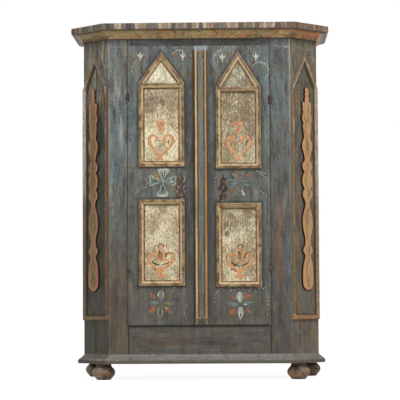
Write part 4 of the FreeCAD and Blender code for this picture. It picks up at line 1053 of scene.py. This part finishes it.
for name, (body, strokes, place, swell) in motifs.items():
    paintMotif(name, body, strokes, place, swell=swell)
print("urns and rosettes painted")


def dabs(brush, spots, size):                    # a chain of dots, each a short dab
    chain = []
    for across, up in spots:
        lean = random.uniform(-1, 1)
        tip = size * 0.6
        chain.append((brush, [(across - lean, up - 2, tip), (across, up, size), (across + lean, up + 2, tip)]))
    return chain


arcKnots = 6


def arc(brush, centre, radius, start, end, width):
    knots = []
    for step in range(arcKnots):
        angle = math.radians(start + (end - start) * step / (arcKnots - 1))
        swell = width * (0.4 + 0.6 * math.sin(math.pi * (step + 0.5) / arcKnots))
        knots.append((centre[0] + radius * math.cos(angle), centre[1] + radius * math.sin(angle), swell))
    return (brush, knots)


def fan(brush, centre, radii, start, end, width):
    return [arc(brush, centre, radius, start, end, width) for radius in radii]


random.seed(7)
sprig = [[(0, 4, 2), (0, 24, 9), (0, 44, 2)], [(-2, 6, 2), (-9, 20, 7), (-16, 30, 2)],
         [(2, 6, 2), (9, 20, 7), (16, 30, 2)],
         [(0, -8, 3), (0, 2, 4), (0, 8, 3)]]


def sprigAt(across, up):                         # three leaves on a stem
    return [("chalk", [(across + x, up + z, width) for x, z, width in leaf]) for leaf in sprig]


scrolls = {
    "left_door": [
        *fan("haze", (-284, 1597), (38, 46, 56, 64), 105, 245, 5), arc("leaf", (-284, 1597), 72, 80, 235, 5),
        arc("ochre", (-284, 1597), 30, 100, 250, 5), arc("leaf", (-290, 1600), 60, 60, 120, 4),
        *fan("haze", (-98, 1640), (40, 50, 60), 70, -65, 4), arc("mint", (-98, 1640), 56, 75, 150, 7),
        arc("haze", (-96, 1640), 46, 80, 150, 4), arc("leaf", (-160, 1562), 64, 62, -10, 5),
        arc("leaf", (-168, 1560), 52, 52, 5, 4), arc("haze", (-160, 1562), 72, 60, -10, 4),
        ("rust", [(-142, 1672, 6), (-133, 1673, 11), (-124, 1672, 6)]),
        ("rust", [(-118, 1668, 4), (-104, 1662, 8), (-92, 1650, 4)]),
        *sprigAt(-303, 1648), *sprigAt(-84, 1648),
        *dabs("chalk", [(-297, 1040), (-286, 1038), (-278, 1029), (-271, 1018), (-269, 1009), (-273, 998), (-278, 988),
                        (-289, 985), (-299, 985), (-308, 981), (-315, 972), (-323, 963)], 5),
        *dabs("faint", [(-356, 1016), (-352, 1025), (-346, 1034), (-338, 1041)], 4),
        arc("haze", (-330, 1075), 26, 150, 40, 3), arc("haze", (-352, 1090), 30, 20, -40, 3),
        *dabs("chalk", [(-133, 472), (-137, 461), (-142, 450)], 5),
        *dabs("chalk", [(-74, 383), (-77, 369), (-79, 358), (-82, 343), (-80, 328), (-72, 315)], 5),
        *fan("haze", (-345, 385), (30, 42), 60, -75, 3),
        arc("haze", (-300, 425), 26, 110, -50, 3), arc("haze", (-105, 415), 30, 160, 20, 3),
        arc("haze", (-62, 395), 30, 150, 260, 3), arc("haze", (-90, 330), 30, 200, 300, 3)],
    "right_door": [
        *fan("haze", (138, 1640), (44, 54, 64, 72), 75, 235, 7), arc("mint", (136, 1640), 60, 100, 215, 5),
        ("haze", [(146, 1690, 6), (164, 1688, 10), (180, 1672, 6)]),
        ("leaf", [(136, 1666, 4), (150, 1674, 8), (166, 1682, 4)]),
        arc("mint", (312, 1584), 46, 150, -50, 7), *fan("haze", (312, 1584), (24, 32, 39), 140, -55, 4),
        *sprigAt(120, 1638), *sprigAt(293, 1640),
        arc("mint", (262, 990), 84, 70, 30, 4),
        *dabs("chalk", [(325, 1062), (334, 1055), (345, 1035), (349, 1018)], 5),
        *dabs("chalk", [(277, 968), (288, 961), (303, 965), (315, 962), (328, 952), (342, 940)], 5),
        *dabs("chalk", [(86, 1042), (80, 1030), (78, 1014)], 4),
        *dabs("chalk", [(71, 395), (74, 417), (78, 436), (83, 447), (93, 456), (148, 469), (159, 458), (177, 459),
                        (197, 463), (218, 461), (251, 454), (258, 467), (302, 465), (313, 469), (324, 467), (334, 472),
                        (339, 436), (344, 421), (347, 402), (347, 384), (347, 356)], 5),
        arc("haze", (110, 440), 26, 180, 60, 3), arc("haze", (300, 430), 40, 130, 10, 3),
        arc("haze", (120, 380), 30, 150, 260, 3), arc("haze", (310, 340), 34, -80, 40, 3)],
}
for body, strokes in scrolls.items():
    paintMotif(body + "_scrolls", body, strokes, (0, doorFace, 0))


def wave(brush, start, end, low, high, count, width):
    knots = []
    for step in range(count):
        share = step / (count - 1)
        thick = width * (0.7 + 0.5 * random.random())
        knots.append((start + (end - start) * share, low if step % 2 else high, thick))
    return (brush, knots)


waves = {                                        # strokes, place, turn
    "left_stile_wave": ([wave("haze", -466, -396, 1714, 1721, 4, 6)], (0, stileFace, 0), 0),
    "right_stile_wave": ([wave("haze", 390, 466, 1712, 1718, 4, 7), wave("mint", 438, 466, 1708, 1714, 3, 6)],
                         (0, stileFace, 0), 0),
    "left_cant_wave": ([wave("haze", -82, 84, 1702, 1713, 7, 5)], (-cantMiddle[0], cantMiddle[1], 0), -45),
    "right_cant_wave": ([wave("haze", -88, 88, 1704, 1712, 8, 5)], (cantMiddle[0], cantMiddle[1], 0), 45),
}
for name, (strokes, place, turn) in waves.items():
    paintMotif(name, "carcass", strokes, place, turn)


# Painted dummy plate on the left door, to match the iron one

dummy = {"place": (-0.096, 0.992), "tall": 1.05, "thickness": 0.0008, "merge": 0.00001}
plate = addObject("painted_plate", cadNodes["escutcheon"].data.copy())
low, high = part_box("escutcheon")
middle = [(start + end) / 2 for start, end in zip(low, high)]
select([plate])
bpy.ops.object.mode_set(mode="EDIT")
bpy.ops.mesh.select_all(action="SELECT")
bpy.ops.mesh.remove_doubles(threshold=dummy["merge"])
bpy.ops.object.mode_set(mode="OBJECT")
bpy.ops.mesh.customdata_custom_splitnormals_clear()
flat = dummy["thickness"] / (high[1] - low[1])
plate.scale = (1, flat, dummy["tall"])
plate.location = (dummy["place"][0] - middle[0], doorFace - dummy["thickness"] / 2 - middle[1] * flat,
                  dummy["place"][1] - middle[2] * dummy["tall"])
applyPlace()
plate.data.materials.clear()
plate.data.materials.append(brushMaterials["maroon"])
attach(plate, "left_door")

plateDashes = [[(-108, 1030, 2), (-101, 1043, 4), (-96, 1052, 2)], [(-84, 1046, 2), (-78, 1036, 4), (-74, 1026, 2)],
               [(-86, 1012, 2), (-80, 1022, 4), (-76, 1030, 2)], [(-118, 1000, 2), (-110, 990, 4), (-104, 978, 2)],
               [(-88, 976, 2), (-82, 986, 5), (-77, 996, 2)], [(-119, 972, 2), (-115, 966, 4), (-112, 958, 2)],
               [(-78, 962, 2), (-75, 968, 4), (-73, 974, 2)], [(-106, 944, 2), (-96, 950, 4), (-87, 944, 2)],
               [(-100, 928, 3), (-95, 930, 6), (-90, 928, 3)]]
paintMotif("plate_dashes", "left_door", [("mint", dash) for dash in plateDashes], (0, doorFace - dummy["thickness"], 0))
paintMotif("strip_dots", "right_door", dabs("chalk", [(20, 1678), (20, 1640), (20, 1602), (20, 1453), (20, 1157)], 5),
           (0, doorFace - strip["deep"], 0))


# Nail heads on the door mouldings, one modelled and copied

nail = {"radius": 0.0032, "height": 0.0016, "bevel": 0.0007, "sides": 10, "inset": 0.4, "dome": 0.3}
nails = {
    "left_door": [(-0.3, 1.14), (-0.3, 1.33), (-0.3, 1.49), (-0.09, 1.16), (-0.09, 1.34), (-0.09, 1.48), (-0.301, 0.53),
                  (-0.301, 0.72), (-0.301, 0.88), (-0.09, 0.54), (-0.09, 0.7), (-0.09, 0.87)],
    "right_door": [(0.097, 1.4), (0.098, 1.255), (0.1, 1.19), (0.303, 1.14), (0.303, 1.3), (0.303, 1.45), (0.097, 0.52),
                   (0.097, 0.68), (0.096, 0.84), (0.303, 0.53), (0.303, 0.7), (0.303, 0.86)],
}
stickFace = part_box("left_door_upper_moulding")[0][1]
bpy.ops.object.select_all(action="DESELECT")
bpy.ops.mesh.primitive_cylinder_add(vertices=nail["sides"], radius=nail["radius"], depth=nail["height"],
                                    location=(0, 0, 0))
firstNail = bpy.context.object
bpy.ops.object.mode_set(mode="EDIT")
bpy.ops.mesh.select_all(action="DESELECT")
bpy.ops.object.mode_set(mode="OBJECT")
for face in firstNail.data.polygons:
    face.select = face.normal.z > 0.9
bpy.ops.object.mode_set(mode="EDIT")
bpy.ops.mesh.inset(thickness=nail["radius"] * nail["inset"], depth=nail["height"] * nail["dome"])
bpy.ops.object.mode_set(mode="OBJECT")
rounding = firstNail.modifiers.new("rounded", "BEVEL")
rounding.width = nail["bevel"]
bpy.ops.object.modifier_apply(modifier=rounding.name)
firstNail.data.materials.append(ironSkin("nail iron"))
for body, spots in nails.items():
    heads = gather(body + "_nails", firstNail, [(x, stickFace, z) for x, z in spots], math.pi / 2)
    bpy.ops.object.shade_flat()
    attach(heads, body)
bpy.data.objects.remove(firstNail)
print("plate painted, nails driven")


# Camera at the photograph's height and distance

view = {"place": (0.237, -9.2255, 0.409), "lens": 157.88, "tilt": 3.259, "roll": 0.317, "pan": 1.522, "far": 200}
cameraData = bpy.data.cameras.new("photo camera")
cameraData.lens = view["lens"]
cameraData.clip_end = view["far"]
camera = addObject("photo camera", cameraData)
camera.location = view["place"]
camera.rotation_euler = (math.radians(90 + view["tilt"]), math.radians(view["roll"]), math.radians(view["pan"]))
bpy.context.scene.camera = camera


# Studio: pale floor, soft lamps, white surroundings

studio = {"floorSize": 60.0, "surround": 0.36, "floorShade": 0.3, "ground": (0.85, 0.85, 0.85, 1), "glow": 1.31}
lamps = {
    "key": {"place": (1.9, -4.6, 5.2), "aim": (0, 0, 0.9), "size": 2.2, "power": 260},
    "fill": {"place": (-3.4, -5.8, 2.4), "aim": (0, 0, 0.9), "size": 3.5, "power": 90},
}
bpy.ops.object.select_all(action="DESELECT")
bpy.ops.mesh.primitive_plane_add(size=studio["floorSize"], location=(0, 0, 0))
floor = bpy.context.object
floor.name = "studio_floor"
floorPaint = Finish("floor white")
ground = floorPaint.add("ShaderNodeBsdfDiffuse", {}, {"Color": studio["ground"]})
glow = floorPaint.add("ShaderNodeEmission", {}, {"Color": (1, 1, 1, 1), "Strength": studio["glow"]})
rays = floorPaint.add("ShaderNodeLightPath").socket.node.outputs
seen = Wire(floorPaint, rays["Is Camera Ray"]) + Wire(floorPaint, rays["Is Glossy Ray"])
pale = floorPaint.add("ShaderNodeMixShader", {}, {0: seen * (1 - studio["floorShade"]), 1: ground, 2: glow})
floorPaint.feed(floorPaint.tree.nodes["Material Output"].inputs["Surface"], pale)
floor.data.materials.append(floorPaint.material)

world = bpy.data.worlds.new("studio white")
bpy.context.scene.world = world
world.use_nodes = True
tree = world.node_tree
surround = tree.nodes["Background"]
surround.inputs["Color"].default_value = (1, 1, 1, 1)
path = tree.nodes.new("ShaderNodeLightPath")
shown = tree.nodes.new("ShaderNodeMath")
shown.operation = "MAXIMUM"
tree.links.new(path.outputs["Is Camera Ray"], shown.inputs[0])
tree.links.new(path.outputs["Is Glossy Ray"], shown.inputs[1])
level = tree.nodes.new("ShaderNodeMapRange")
tree.links.new(shown.outputs[0], level.inputs["Value"])
level.inputs["To Min"].default_value = studio["surround"]
level.inputs["To Max"].default_value = 1.0
tree.links.new(level.outputs[0], surround.inputs["Strength"])

for name, lamp in lamps.items():
    lampData = bpy.data.lights.new(name + " lamp", "AREA")
    lampData.shape = "DISK"
    lampData.size = lamp["size"]
    lampData.energy = lamp["power"]
    light = addObject(name + " lamp", lampData)
    light.location = lamp["place"]
    light.rotation_euler = (Vector(lamp["aim"]) - Vector(lamp["place"])).to_track_quat("-Z", "Y").to_euler()
bpy.context.scene.view_settings.view_transform = "Standard"
print("camera, floor and lamps set")
